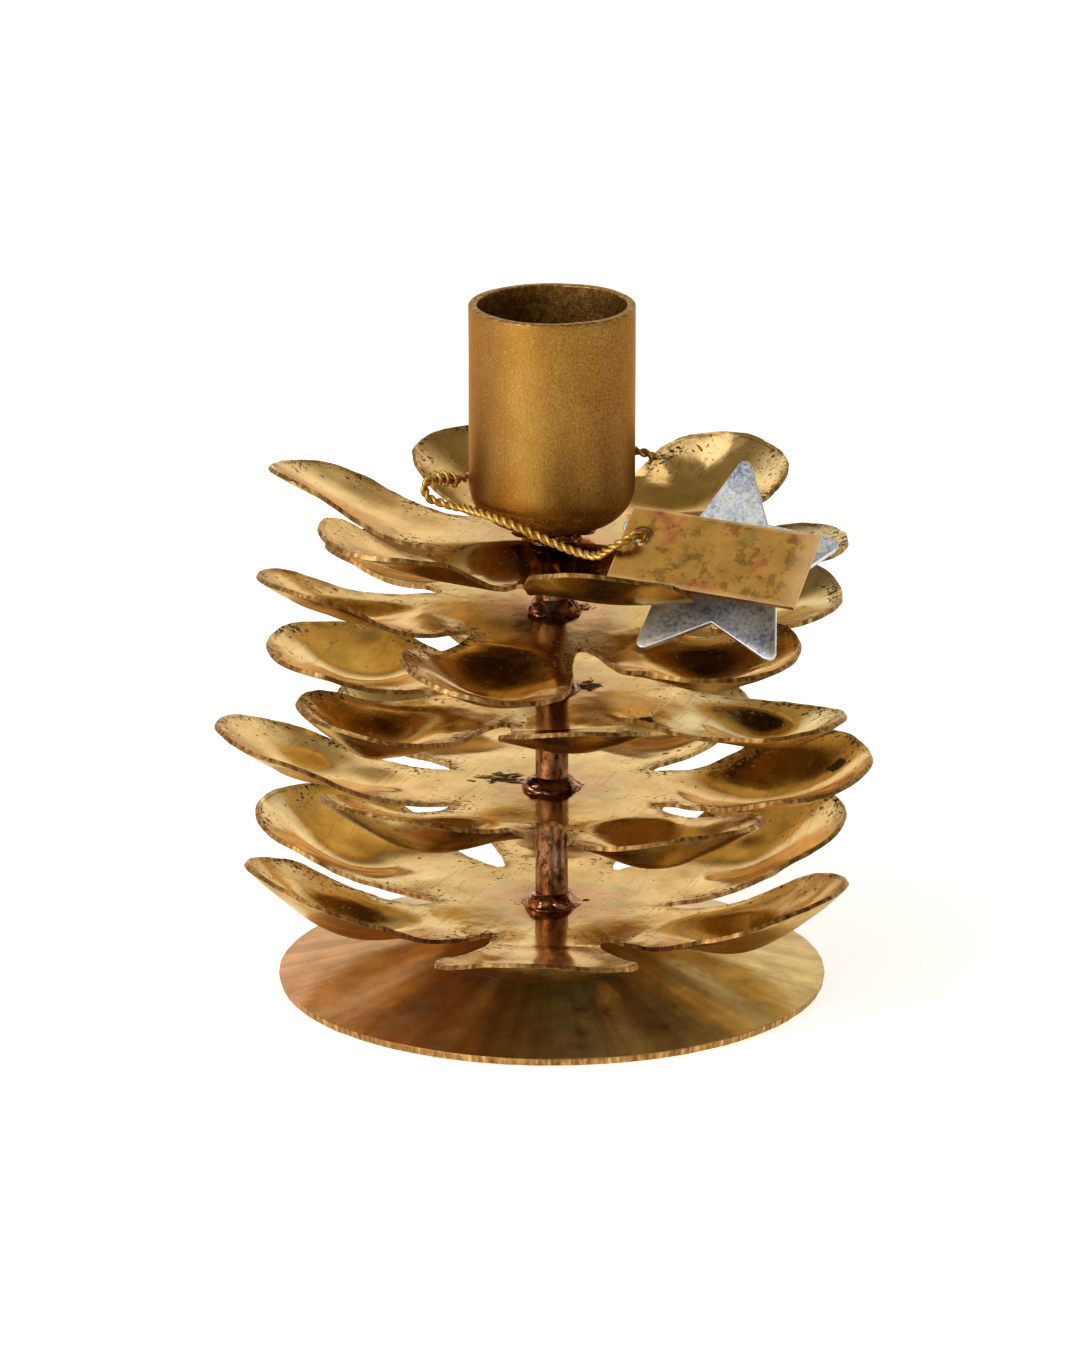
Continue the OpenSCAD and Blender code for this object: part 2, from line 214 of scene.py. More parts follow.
def painted(tree, amount, share, under, over):
    # the colour over laid on the colour under, where amount is bright, at most by share
    weight = addNode(tree, "Math", {"operation": "MULTIPLY", "use_clamp": True, 0: amount, 1: share})
    return addNode(tree, "Mix", {"data_type": "RGBA", 0: weight, 6: under, 7: colour(over)}).outputs[2]


def stained(tree, spot, under, over, share, size, low, high, *more):
    # the colour over in patches about size across, which come in where their noise runs from low to high
    return painted(tree, patches(tree, spot, size, [(low, 0.0), (high, 1.0)], *more), share, under, over)


def roughened(tree, spot, size, depth, strength, detail=3.0, rough=0.5, after=None):
    # lumps about size across and depth deep, in millimetres, on top of the relief before them
    lumps = addNode(tree, "TexNoise", {"Scale": 1 / (size * mm), "Detail": detail, "Roughness": rough,
                                       "Vector": spot})
    before = {"Normal": after} if after else {}
    return addNode(tree, "Bump", {"Strength": strength, "Distance": depth * mm, "Height": lumps, **before})


def makePolishedBrass():
    # brass sheet, dished cold, brazed and polished by hand: a warm wavy mirror with straw, rose and
    # grey-green heat tints, hand scratches, and pits and brown dirt that crowd along its cut edges
    material, tree, shader, spot = startMaterial("polished_brass", "#FFF0D6")
    fromRim, tone, soot = [addNode(tree, "Attribute", {"attribute_name": key}).outputs["Fac"]
                           for key in ("fromRim", "tone", "soot")]
    cloud = addNode(tree, "TexNoise", {"Scale": 1 / (22 * mm), "Detail": 2, "Vector": spot})
    calm = addNode(tree, "MapRange", {0: cloud, 1: 0.3, 2: 0.7, 3: 0.4, 4: 0.64})
    toned = addNode(tree, "Math", {"operation": "MULTIPLY_ADD", 0: tone, 1: 0.17, 2: calm})
    base = addNode(tree, "ValToRGB", {"stops": [(0.2, "#C0BAA0"), (0.34, "#E6D29C"), (0.46, "#FCDA9A"),
                                      (0.6, "#F4CA84"), (0.72, "#E2B474"), (0.86, "#C49E58")], "Fac": toned})
    # heat tint in rings round the brazed hub
    flat = addNode(tree, "VectorMath", {"operation": "MULTIPLY", 0: spot, 1: (1, 1, 0)})
    away = addNode(tree, "VectorMath", {"operation": "LENGTH", 0: flat}).outputs["Value"]
    drift = addNode(tree, "TexNoise", {"Scale": 1 / (9 * mm), "Detail": 3, "Vector": spot})
    ringed = addNode(tree, "Math", {"operation": "MULTIPLY_ADD", 0: away, 1: 1 / (26 * mm), 2: drift})
    rings = addNode(tree, "ValToRGB", {"stops": [(0.56, "#9C7864"), (0.68, "#C89270"), (0.8, "#D0A074"),
                                       (0.9, "#B4A478"), (1.0, "#D0AE6C")], "Fac": ringed})
    hubShare = addNode(tree, "MapRange", {0: away, 1: 8 * mm, 2: 22 * mm, 3: 0.85, 4: 0.0})
    base = addNode(tree, "Mix", {"data_type": "RGBA", 0: hubShare, 6: base, 7: rings}).outputs[2]
    base = stained(tree, spot, base, "#AE8442", 0.5, 6, 0.4, 0.66, 5, 0.6)
    # a scribed line near the edge, broken here and there
    gap = addNode(tree, "Math", {"operation": "COMPARE", 0: fromRim, 1: 0.72, 2: 0.16})
    broken = patches(tree, spot, 5, [(0.44, 0.0), (0.56, 1.0)])
    line = addNode(tree, "Math", {"operation": "MULTIPLY", 0: gap, 1: broken})
    # pits, and dirt near the edge
    nearRim = addNode(tree, "MapRange", {0: fromRim, 1: 0.2, 2: 6.0, 3: 1.0, 4: 0.0})
    crowd = patches(tree, spot, 8, [(0.34, 0.0), (0.6, 1.0)], 2)
    crowd = addNode(tree, "Math", {"operation": "MULTIPLY", 0: crowd, 1: nearRim})
    grit = addNode(tree, "TexNoise", {"Scale": 1 / (0.8 * mm), "Detail": 4, "Roughness": 0.7, "Vector": spot})
    grit = addNode(tree, "Math", {"operation": "MULTIPLY_ADD", 0: crowd, 1: 0.15, 2: grit})
    pits = addNode(tree, "ValToRGB", {"stops": [(0.655, 0.0), (0.69, 1.0)], "Fac": grit})
    smut = addNode(tree, "Math", {"operation": "ADD", 0: soot,
                                  1: patches(tree, spot, 1.7, [(0.2, 0.0), (0.8, 0.9)], 5, 0.65)})
    smut = addNode(tree, "ValToRGB", {"stops": [(0.86, 0.0), (1.0, 1.0)], "Fac": smut})
    dirt = addNode(tree, "Math", {"operation": "MAXIMUM", 0: pits, 1: smut})
    edgeDirt = addNode(tree, "MapRange", {0: fromRim, 1: 0.2, 2: 2.2, 3: 0.9, 4: 0.0})
    edgeDirt = addNode(tree, "Math", {"operation": "MULTIPLY", 0: edgeDirt,
                                      1: patches(tree, spot, 2.6, [(0.4, 0.0), (0.62, 1.0)], 4, 0.6)})
    base = painted(tree, edgeDirt, 0.7, base, "#8A6032")
    base = painted(tree, line, 0.45, base, "#5A3A18")
    # scratches from the polishing, one set across the other
    hairs = patches(tree, spot, 1, [(0.63, 0.0), (0.69, 1.0)], 1, 0.5, (14, 0.22, 14), 35)
    other = patches(tree, spot, 1, [(0.64, 0.0), (0.7, 1.0)], 1, 0.5, (10, 0.2, 10), -28)
    hairs = addNode(tree, "Math", {"operation": "MAXIMUM", 0: hairs, 1: other})
    base = painted(tree, hairs, 0.22, base, "#E6CC98")
    base = stained(tree, spot, base, "#86602E", 0.25, 1.2, 0.6, 0.68, 2, 0.5, (7, 0.5, 7), 70)
    base = painted(tree, dirt, 0.9, base, "#3A2410")
    rough = patches(tree, spot, 5, [(0.3, 0.08), (0.5, 0.13), (0.72, 0.24)], 4)
    for share, cause in ((0.5, dirt), (0.07, hairs), (0.2, edgeDirt)):
        rough = addNode(tree, "Math", {"operation": "MULTIPLY_ADD", 0: cause, 1: share, 2: rough})
    # fine grain, hammer marks, and the line and the pits sunk into them
    relief = roughened(tree, spot, 0.7, 0.02, 0.2)
    relief = roughened(tree, spot, 4.5, 0.25, 0.22, detail=2, after=relief)
    sunk = addNode(tree, "Math", {"operation": "MAXIMUM", 0: line, 1: pits})
    sunk = addNode(tree, "Math", {"operation": "SUBTRACT", 0: 1.0, 1: sunk})
    relief = addNode(tree, "Bump", {"Strength": 0.7, "Distance": 0.05 * mm, "Height": sunk, "Normal": relief})
    join(tree, shader, {"Base Color": base, "Roughness": rough, "Normal": relief})
    return material


def makeCutEdge():
    # the edge that the shears left: paler raw brass, finely striated, with brown in the hollows
    material, tree, shader, spot = startMaterial("sheared_edge", "#FFF0D6", {"Roughness": 0.4})
    marks = addNode(tree, "Mapping", {"Scale": (1, 1, 0.12), "Vector": spot})
    marks = addNode(tree, "TexNoise", {"Scale": 1 / (0.8 * mm), "Detail": 4, "Vector": marks})
    base = addNode(tree, "ValToRGB", {"stops": [(0.32, "#6E4A22"), (0.5, "#AC7E46"), (0.7, "#E0BE82")],
                                      "Fac": marks})
    base = stained(tree, spot, base, "#8A6232", 0.45, 5, 0.46, 0.7, 4)
    relief = addNode(tree, "Bump", {"Strength": 0.6, "Distance": 0.07 * mm, "Height": marks})
    join(tree, shader, {"Base Color": base, "Normal": relief})
    return material


def makeUnderside():
    # the sheet's underside, scoured but never polished: dull olive gold with brown flecks, and a soft
    # mirror
    material, tree, shader, spot = startMaterial("scoured_underside", "#FFE2B8")
    base = patches(tree, spot, 9, [(0.34, "#8A7446"), (0.5, "#B0985E"), (0.66, "#D0BA7E")], 4, 0.6)
    base = stained(tree, spot, base, "#3E2814", 0.6, 1.2, 0.6, 0.68, 4)
    haze = patches(tree, spot, 5, [(0.3, 0.18), (0.7, 0.32)], 4)
    relief = roughened(tree, spot, 0.7, 0.03, 0.3)
    join(tree, shader, {"Base Color": base, "Roughness": haze, "Normal": relief})
    return material


def makeSatinBrass():
    # spun brass, scoured and then heat tinted: satin, rose to the left and gold to the right, both lightened
    # by painted light, and brown in the middle, across the front, by a painted shadow; its spinning marks
    # along the radii carry painted sheen, with bright specks and a few red flecks
    material, tree, shader, spot = startMaterial("satin_brass", "#FFEED0", {"Metallic": 0.72})
    apart = addNode(tree, "SeparateXYZ", {"Vector": spot})
    # painted light and shade across the foot, from left to right: light rose, a painted shadow of brown in
    # the middle, painted light in gold to the right
    side = addNode(tree, "MapRange", {0: apart.outputs[0], 1: -42 * mm, 2: 42 * mm, 3: -0.05, 4: 1.0})
    drift = addNode(tree, "TexNoise", {"Scale": 1 / (14 * mm), "Detail": 4, "Vector": spot})
    side = addNode(tree, "Math", {"operation": "MULTIPLY_ADD", 0: drift, 1: 0.4, 2: side})
    base = addNode(tree, "ValToRGB", {"stops": [(0.18, "#F4AE78"), (0.4, "#DC9A54"), (0.52, "#C48436"),
                                      (0.62, "#DAA650"), (0.72, "#E8C67E"), (0.84, "#FFDE8C")], "Fac": side})
    # spinning marks along the radii, their sheen painted as dark and pale streaks: noise on the direction
    # from the axis
    flat = addNode(tree, "VectorMath", {"operation": "MULTIPLY", 0: spot, 1: (1, 1, 0)})
    way = addNode(tree, "VectorMath", {"operation": "NORMALIZE", 0: flat})
    rays = addNode(tree, "TexNoise", {"Scale": 7.0, "Detail": 4, "Roughness": 0.6, "Vector": way})
    dark = addNode(tree, "ValToRGB", {"stops": [(0.44, 0.0), (0.62, 1.0)], "Fac": rays})
    base = painted(tree, dark, 0.45, base, "#7A5228")
    # painted sheen: the pale streaks
    pale = addNode(tree, "ValToRGB", {"stops": [(0.34, 1.0), (0.46, 0.0)], "Fac": rays})
    base = painted(tree, pale, 0.35, base, "#C6B48C")
    # brown clouds, red flecks, bright specks, pits and scratches
    base = stained(tree, spot, base, "#805428", 0.5, 5, 0.4, 0.7, 4, 0.65)
    base = stained(tree, spot, base, "#A04A26", 0.7, 5, 0.66, 0.74)
    base = stained(tree, spot, base, "#F0D090", 0.7, 0.55, 0.69, 0.74, 2)
    base = stained(tree, spot, base, "#3A2410", 0.8, 0.9, 0.7, 0.74, 3, 0.6)
    base = stained(tree, spot, base, "#E3C68E", 0.35, 1, 0.66, 0.7, 1, 0.5, (16, 0.2, 16), 20)
    haze = patches(tree, spot, 4, [(0.3, 0.13), (0.7, 0.28)], 4)
    relief = roughened(tree, spot, 0.5, 0.03, 0.35)
    join(tree, shader, {"Base Color": base, "Roughness": haze, "Normal": relief})
    return material


def makeBlastedBrass(name, inside):
    # brass tube and bottom, blasted with grit: an even satin bronze gold with a fine grain that glints with
    # painted sparkle, rosier and darker towards the sides by painted shade, and darker to the right, in its
    # grain too, by painted shade; inside it is browner and coarser still
    material, tree, shader, spot = startMaterial(name, "#FFE2B8", {"Roughness": 0.4})
    x = addNode(tree, "SeparateXYZ", {"Vector": spot}).outputs[0]
    # painted shade towards the cup's sides, where it turns away from the light
    aside = addNode(tree, "Math", {"operation": "ABSOLUTE", 0: x})
    aside = addNode(tree, "MapRange", {0: aside, 1: 4.5 * mm, 2: 12.5 * mm, 3: 0.0, 4: 1.0})
    base = patches(tree, spot, 9, [(0.3, "#A4752E"), (0.5, "#AE8036"), (0.7, "#B88C44")], 4, 0.6)
    base = painted(tree, aside, 0.8, base, "#8E5C38")
    # painted shade to the right, away from the key lamp, over all and in the grain's hollows
    right = addNode(tree, "MapRange", {0: x, 1: -4 * mm, 2: 8 * mm, 3: 0.2, 4: 1.0})
    grain = addNode(tree, "TexNoise", {"Scale": 1 / (0.3 * mm), "Detail": 3, "Roughness": 0.7,
                                       "Vector": spot})
    # dark grain hollows, laid on more to the right as painted shade
    hollows = addNode(tree, "ValToRGB", {"stops": [(0.36, 1.0), (0.5, 0.0)], "Fac": grain})
    hollows = addNode(tree, "Math", {"operation": "MULTIPLY", 0: hollows, 1: right})
    base = painted(tree, hollows, 0.9, base, "#5A3816")
    # painted glints: bright specks in the grain, more of them inside
    sparks = addNode(tree, "ValToRGB", {"stops": [(0.56, 0.0), (0.66, 1.0)], "Fac": grain})
    base = painted(tree, sparks, 0.9 if inside else 0.3, base, "#EAC680")
    # painted shade over the right side
    base = painted(tree, right, 0.35, base, "#7A5228")
    base = stained(tree, spot, base, "#6E4A20", 0.2, 1, 0.56, 0.68, 2, 0.5, (0.3, 0.3, 4))
    if inside:
        base = painted(tree, patches(tree, spot, 1.2, [(0.4, 1.0), (0.6, 0.0)], 5, 0.7), 0.8, base, "#6A4420")
    depth, strength = (0.2, 1.0) if inside else (0.08, 0.5)
    relief = addNode(tree, "Bump", {"Strength": strength, "Distance": depth * mm, "Height": grain})
    join(tree, shader, {"Base Color": base, "Normal": relief})
    return material


def makeRodBronze():
    # brass rod, brazed and pickled: copper brown scale, rubbed bright here and there
    material, tree, shader, spot = startMaterial("rod_bronze", "#FFE0C0", {"Roughness": 0.36})
    base = patches(tree, spot, 2.6, [(0.3, "#4A2C1C"), (0.4, "#80543A"), (0.48, "#A87858"), (0.58, "#C8A084"),
                                     (0.72, "#DCC0A8")], 5, 0.65, (1, 1, 2.2))
    base = stained(tree, spot, base, "#3E2818", 0.85, 0.9, 0.5, 0.6, 5, 0.7, (1, 1, 1.6))
    relief = roughened(tree, spot, 1.1, 0.14, 0.6, rough=0.6)
    join(tree, shader, {"Base Color": base, "Normal": relief})
    return material


def makeBrazing():
    # run brazing alloy: smooth pinkish copper lumps, nearly black where the flux lies between them
    material, tree, shader, spot = startMaterial("brazing", settings={"Metallic": 0.9, "Roughness": 0.2})
    base = patches(tree, spot, 2.2, [(0.34, "#1E120A"), (0.42, "#6A3C26"), (0.5, "#AC6C4C"),
                                     (0.62, "#DCAE94")], 4, 0.6)
    join(tree, shader, {"Base Color": base, "Normal": roughened(tree, spot, 0.9, 0.12, 0.5)})
    return material


def makeBurntFlux():
    # borax flux burnt on to the sheet: a thin glassy crust over the brass, brown with amber patches
    material, tree, shader, spot = startMaterial("burnt_flux", "#FFE2B8", {"Roughness": 0.28})
    crust = patches(tree, spot, 1.3, [(0.36, "#4A2E14"), (0.48, "#8E6430"), (0.6, "#D8AE68")], 4, 0.6)
    join(tree, shader, {"Base Color": crust, "Normal": roughened(tree, spot, 0.8, 0.2, 0.5)})
    return material


def makeWireBrass():
    # drawn brass wire: pale yellow gold, a little deeper here and there, under a fine grain
    material, tree, shader, spot = startMaterial(
        "wire_brass", "#FFE9C4", {"Metallic": 0.85, "Roughness": 0.34})
    base = patches(tree, spot, 3, [(0.3, "#C89E4C"), (0.5, "#E0B660"), (0.7, "#ECCC80")])
    join(tree, shader, {"Base Color": base, "Normal": roughened(tree, spot, 0.4, 0.02, 0.4, detail=2)})
    return material


def makePlateBrass():
    # thin stamped brass plate, left to tarnish: olive gold with copper, brown and green stains and
    # pale rubbed edges
    material, tree, shader, spot = startMaterial("plate_brass", "#FFE9C4")
    base = patches(tree, spot, 6, [(0.36, "#846430"), (0.44, "#9E783A"), (0.54, "#A87E3C"), (0.6, "#A8703C"),
                                   (0.7, "#925A34")], 5, 0.65)
    base = stained(tree, spot, base, "#64481E", 0.6, 2.6, 0.54, 0.59, 5, 0.65)
    base = stained(tree, spot, base, "#7E8450", 0.35, 3.4, 0.6, 0.64, 4, 0.6)
    base = stained(tree, spot, base, "#4E3416", 0.6, 0.5, 0.64, 0.7)
    wear = addNode(tree, "Attribute", {"attribute_name": "wear"}).outputs["Fac"]
    base = painted(tree, wear, 0.6, base, "#D8B484")
    haze = patches(tree, spot, 4, [(0.3, 0.24), (0.7, 0.42)], 4)
    relief = roughened(tree, spot, 1.1, 0.07, 0.5, detail=4, rough=0.6)
    join(tree, shader, {"Base Color": base, "Roughness": haze, "Normal": relief})
    return material


def makeNickelSilver(name, rubbed):
    # tumbled nickel silver: mottled blue-grey in the grain, a few brown stains, bright rubbed edges
    material, tree, shader, spot = startMaterial(name)
    fine = addNode(tree, "TexNoise", {"Scale": 1 / (0.6 * mm), "Detail": 5, "Roughness": 0.7, "Vector": spot})
    broad = addNode(tree, "TexNoise", {"Scale": 1 / (4 * mm), "Detail": 3, "Vector": spot})
    shade = addNode(tree, "Math", {"operation": "MULTIPLY_ADD", 0: broad, 1: 0.55, 2: fine})
    base = addNode(tree, "ValToRGB", {"stops": [(0.56, "#76849A"), (0.66, "#A2B0C2"), (0.76, "#C4CEDA"),
                                      (0.88, "#E4E6E6")], "Fac": shade})
    base = stained(tree, spot, base, "#A88A64", 0.5, 5, 0.6, 0.72, 4)
    if rubbed:
        base = painted(tree, fine, 1.6, base, "#F6F4F0")
    haze = patches(tree, spot, 1.5, [(0.3, 0.36), (0.7, 0.5)], 4)
    relief = addNode(tree, "Bump", {"Strength": 0.6, "Distance": 0.08 * mm, "Height": fine})
    join(tree, shader, {"Base Color": base, "Roughness": haze, "Normal": relief})
    return material


polishedBrass = makePolishedBrass()
cutEdge = makeCutEdge()
underside = makeUnderside()
satinBrass = makeSatinBrass()
cupOutside = makeBlastedBrass("blasted_brass", False)
cupInside = makeBlastedBrass("blasted_brass_inside", True)
rodBronze = makeRodBronze()
brazing = makeBrazing()
burntFlux = makeBurntFlux()
wireBrass = makeWireBrass()
plateBrass = makePlateBrass()
nickelSilver = makeNickelSilver("nickel_silver", False)
nickelEdge = makeNickelSilver("nickel_silver_edge", True)
print("materials made")


# Tag wire: two thin wires twisted together and slung round the cup. The route's heights are counted
# from its level, and the knot lies between the two values of x.
tagWire = {
    "strand": 0.72,
    "pitch": 3.0,
    "knotPitch": 1.512,
    "level": 69.5,
    "step": 0.3,
    "knot": (-17.6, -14.2),
    "route": [
        (15.8, 7.2, 10.4), (14.2, 6.6, 11.4), (12.6, 7, 11.7), (10.6, 9.4, 11.5),
        (7.8, 11.8, 11.1), (4.2, 13.4, 10.5), (0.4, 14, 9.8), (-3.4, 13.6, 9.1),
        (-7, 12.2, 8.5), (-10.2, 9.8, 8), (-12.6, 6.8, 7.7), (-14.6, 4.4, 7.9),
        (-16.8, 2.8, 8.6), (-18.5, 1.2, 8.7), (-19.1, 0, 7.6), (-18.4, -0.8, 6.5),
        (-16.8, -1.4, 6), (-14.8, -2.6, 5.8), (-12.8, -4.8, 6), (-10.6, -7.9, 6.2),
        (-7.6, -10.8, 5.9), (-4.2, -12.8, 5), (-1, -14.4, 4), (2, -16.2, 3.2),
        (4.8, -18.4, 2.9), (6.7, -20.5, 3.3), (8, -22.2, 4.5), (9.6, -23.6, 5.9),
        (11.4, -23.9, 7), (12.9, -22.8, 7.5), (13.35, -21.7, 6.35), (13.7, -20.8, 5.3),
        (13.7, -18.8, 4.3), (13.5, -16.6, 4.9), (14, -14.2, 5.2), (14.35, -13.15, 4.3),
        (14.6, -12.2, 3.5), (14.8, -11, 3.9), (14.7, -10.1, 5), (14.5, -9.5, 6.3),
    ],
}


def smoothPath(points, step):
    # a curve through the points (Catmull-Rom), sampled about every step
    points = [Vector(p) for p in points]
    ends = [2 * points[0] - points[1]] + points + [2 * points[-1] - points[-2]]
    path = []
    for n in range(len(points) - 1):
        a, b, c, d = ends[n:n + 4]
        count = max(2, round((c - b).length / step))
        for i in range(count):
            t = i / count
            path.append(0.5 * (2 * b + (c - a) * t + (2 * a - 5 * b + 4 * c - d) * t * t
                               + (3 * b - a - 3 * c + d) * t ** 3))
    return path + [points[-1]]


def strandCurve(name, path, offset, pitch, phase, radius):
    # one strand that winds round the path at the given offset
    data = bpy.data.curves.new(name, "CURVE")
    data.dimensions = "3D"
    data.bevel_depth = radius * mm
    data.bevel_resolution = 2
    data.use_fill_caps = True
    spline = data.splines.new("POLY")
    spline.points.add(len(path) - 1)
    side = (path[1] - path[0]).cross(Vector((0, 0, 1))).normalized()
    run = 0
    for n, point in enumerate(path):
        heading = (path[min(n + 1, len(path) - 1)] - path[max(n - 1, 0)]).normalized()
        side = (side - heading * side.dot(heading)).normalized()
        other = heading.cross(side)
        if n:
            run += (point - path[n - 1]).length
        angle = 2 * math.pi * run / pitch + phase
        spot = point + offset * (math.cos(angle) * side + math.sin(angle) * other)
        spline.points[n].co = (*(spot * mm), 1)
    made = bpy.data.objects.new(name, data)
    bpy.context.scene.collection.objects.link(made)
    return made


def asMesh(curves, name, material):
    # the curves become one mesh object
    graph = bpy.context.evaluated_depsgraph_get()
    bm = bmesh.new()
    for made in curves:
        shape = made.evaluated_get(graph).to_mesh()
        bm.from_mesh(shape)
        made.evaluated_get(graph).to_mesh_clear()
    for made in curves:
        bpy.data.objects.remove(made)
    bmesh.ops.remove_doubles(bm, verts=bm.verts, dist=1e-6)
    for v in bm.verts:
        v.co /= mm
    return finishMesh(bm, name, [material])


def makeTagWire():
    lift = Vector((0, 0, tagWire["level"]))
    path = smoothPath([Vector(p) + lift for p in tagWire["route"]], tagWire["step"])
    radius = tagWire["strand"] / 2
    strands = [strandCurve("strand", path, radius, tagWire["pitch"], phase, radius)
               for phase in (0, math.pi)]
    # the wire's end is wound round it at the left, where it closes the loop
    first, last = tagWire["knot"]
    tied = smoothPath([p for p in path if first < p.x < last and p.y > 0], tagWire["step"] / 4)
    strands.append(strandCurve("knot", tied, 2.5 * radius, tagWire["knotPitch"], 0, radius))
    piece = place(asMesh(strands, "twistedWire", wireBrass), "root", "wire_brass", "tag_wire")


makeTagWire()


# Whorls. A petal's row: angle, reach share, lift, roll, width share, rise of tip, rise of sides, dish, tone.
# A dent's row: petal, distance from the rod, offset to the left, half length, half width, turn, depth.
# A dip is a dent in the hub, placed by x and y.
whorlForm = {
    "sheet": 0.7, "hubRadius": 18.6, "slotHalf": 3.5, "noseShare": 0.94, "rise": 10.0,
    "lobeEnd": 0.85, "capAngle": 70.0, "rollShare": 0.67, "fill": 0.6, "trim": 0.6, "bore": 2.56,
    "rubbed": 0.13, "across": 30, "along": 46, "hubRings": 8, "hubPower": 0.8, "nose": 3,
    "noseSpare": 0.3, "sideFlat": 1.3,
    # the punched dish: how far back its middle lies, its spare length and its share of the width
    "dishBack": 1.5, "dishSpare": 5.0, "dishShare": 0.82,
    # how far the sheet strays from the drawn shape: depth and size of each unevenness
    "wave": (0.36, 12), "ripple": (0.09, 5), "rimWave": (0.12, 2.2), "ragged": (0.2, 3),
    "nicked": (0.07, 0.9),
    # distance from the rod where the waves and the petals' tones come in, and the length they take for it
    "waveFrom": 6.0, "waveOver": 20.0, "toneFrom": 10.0, "toneOver": 14.0, "rimWidth": 1.6,
}
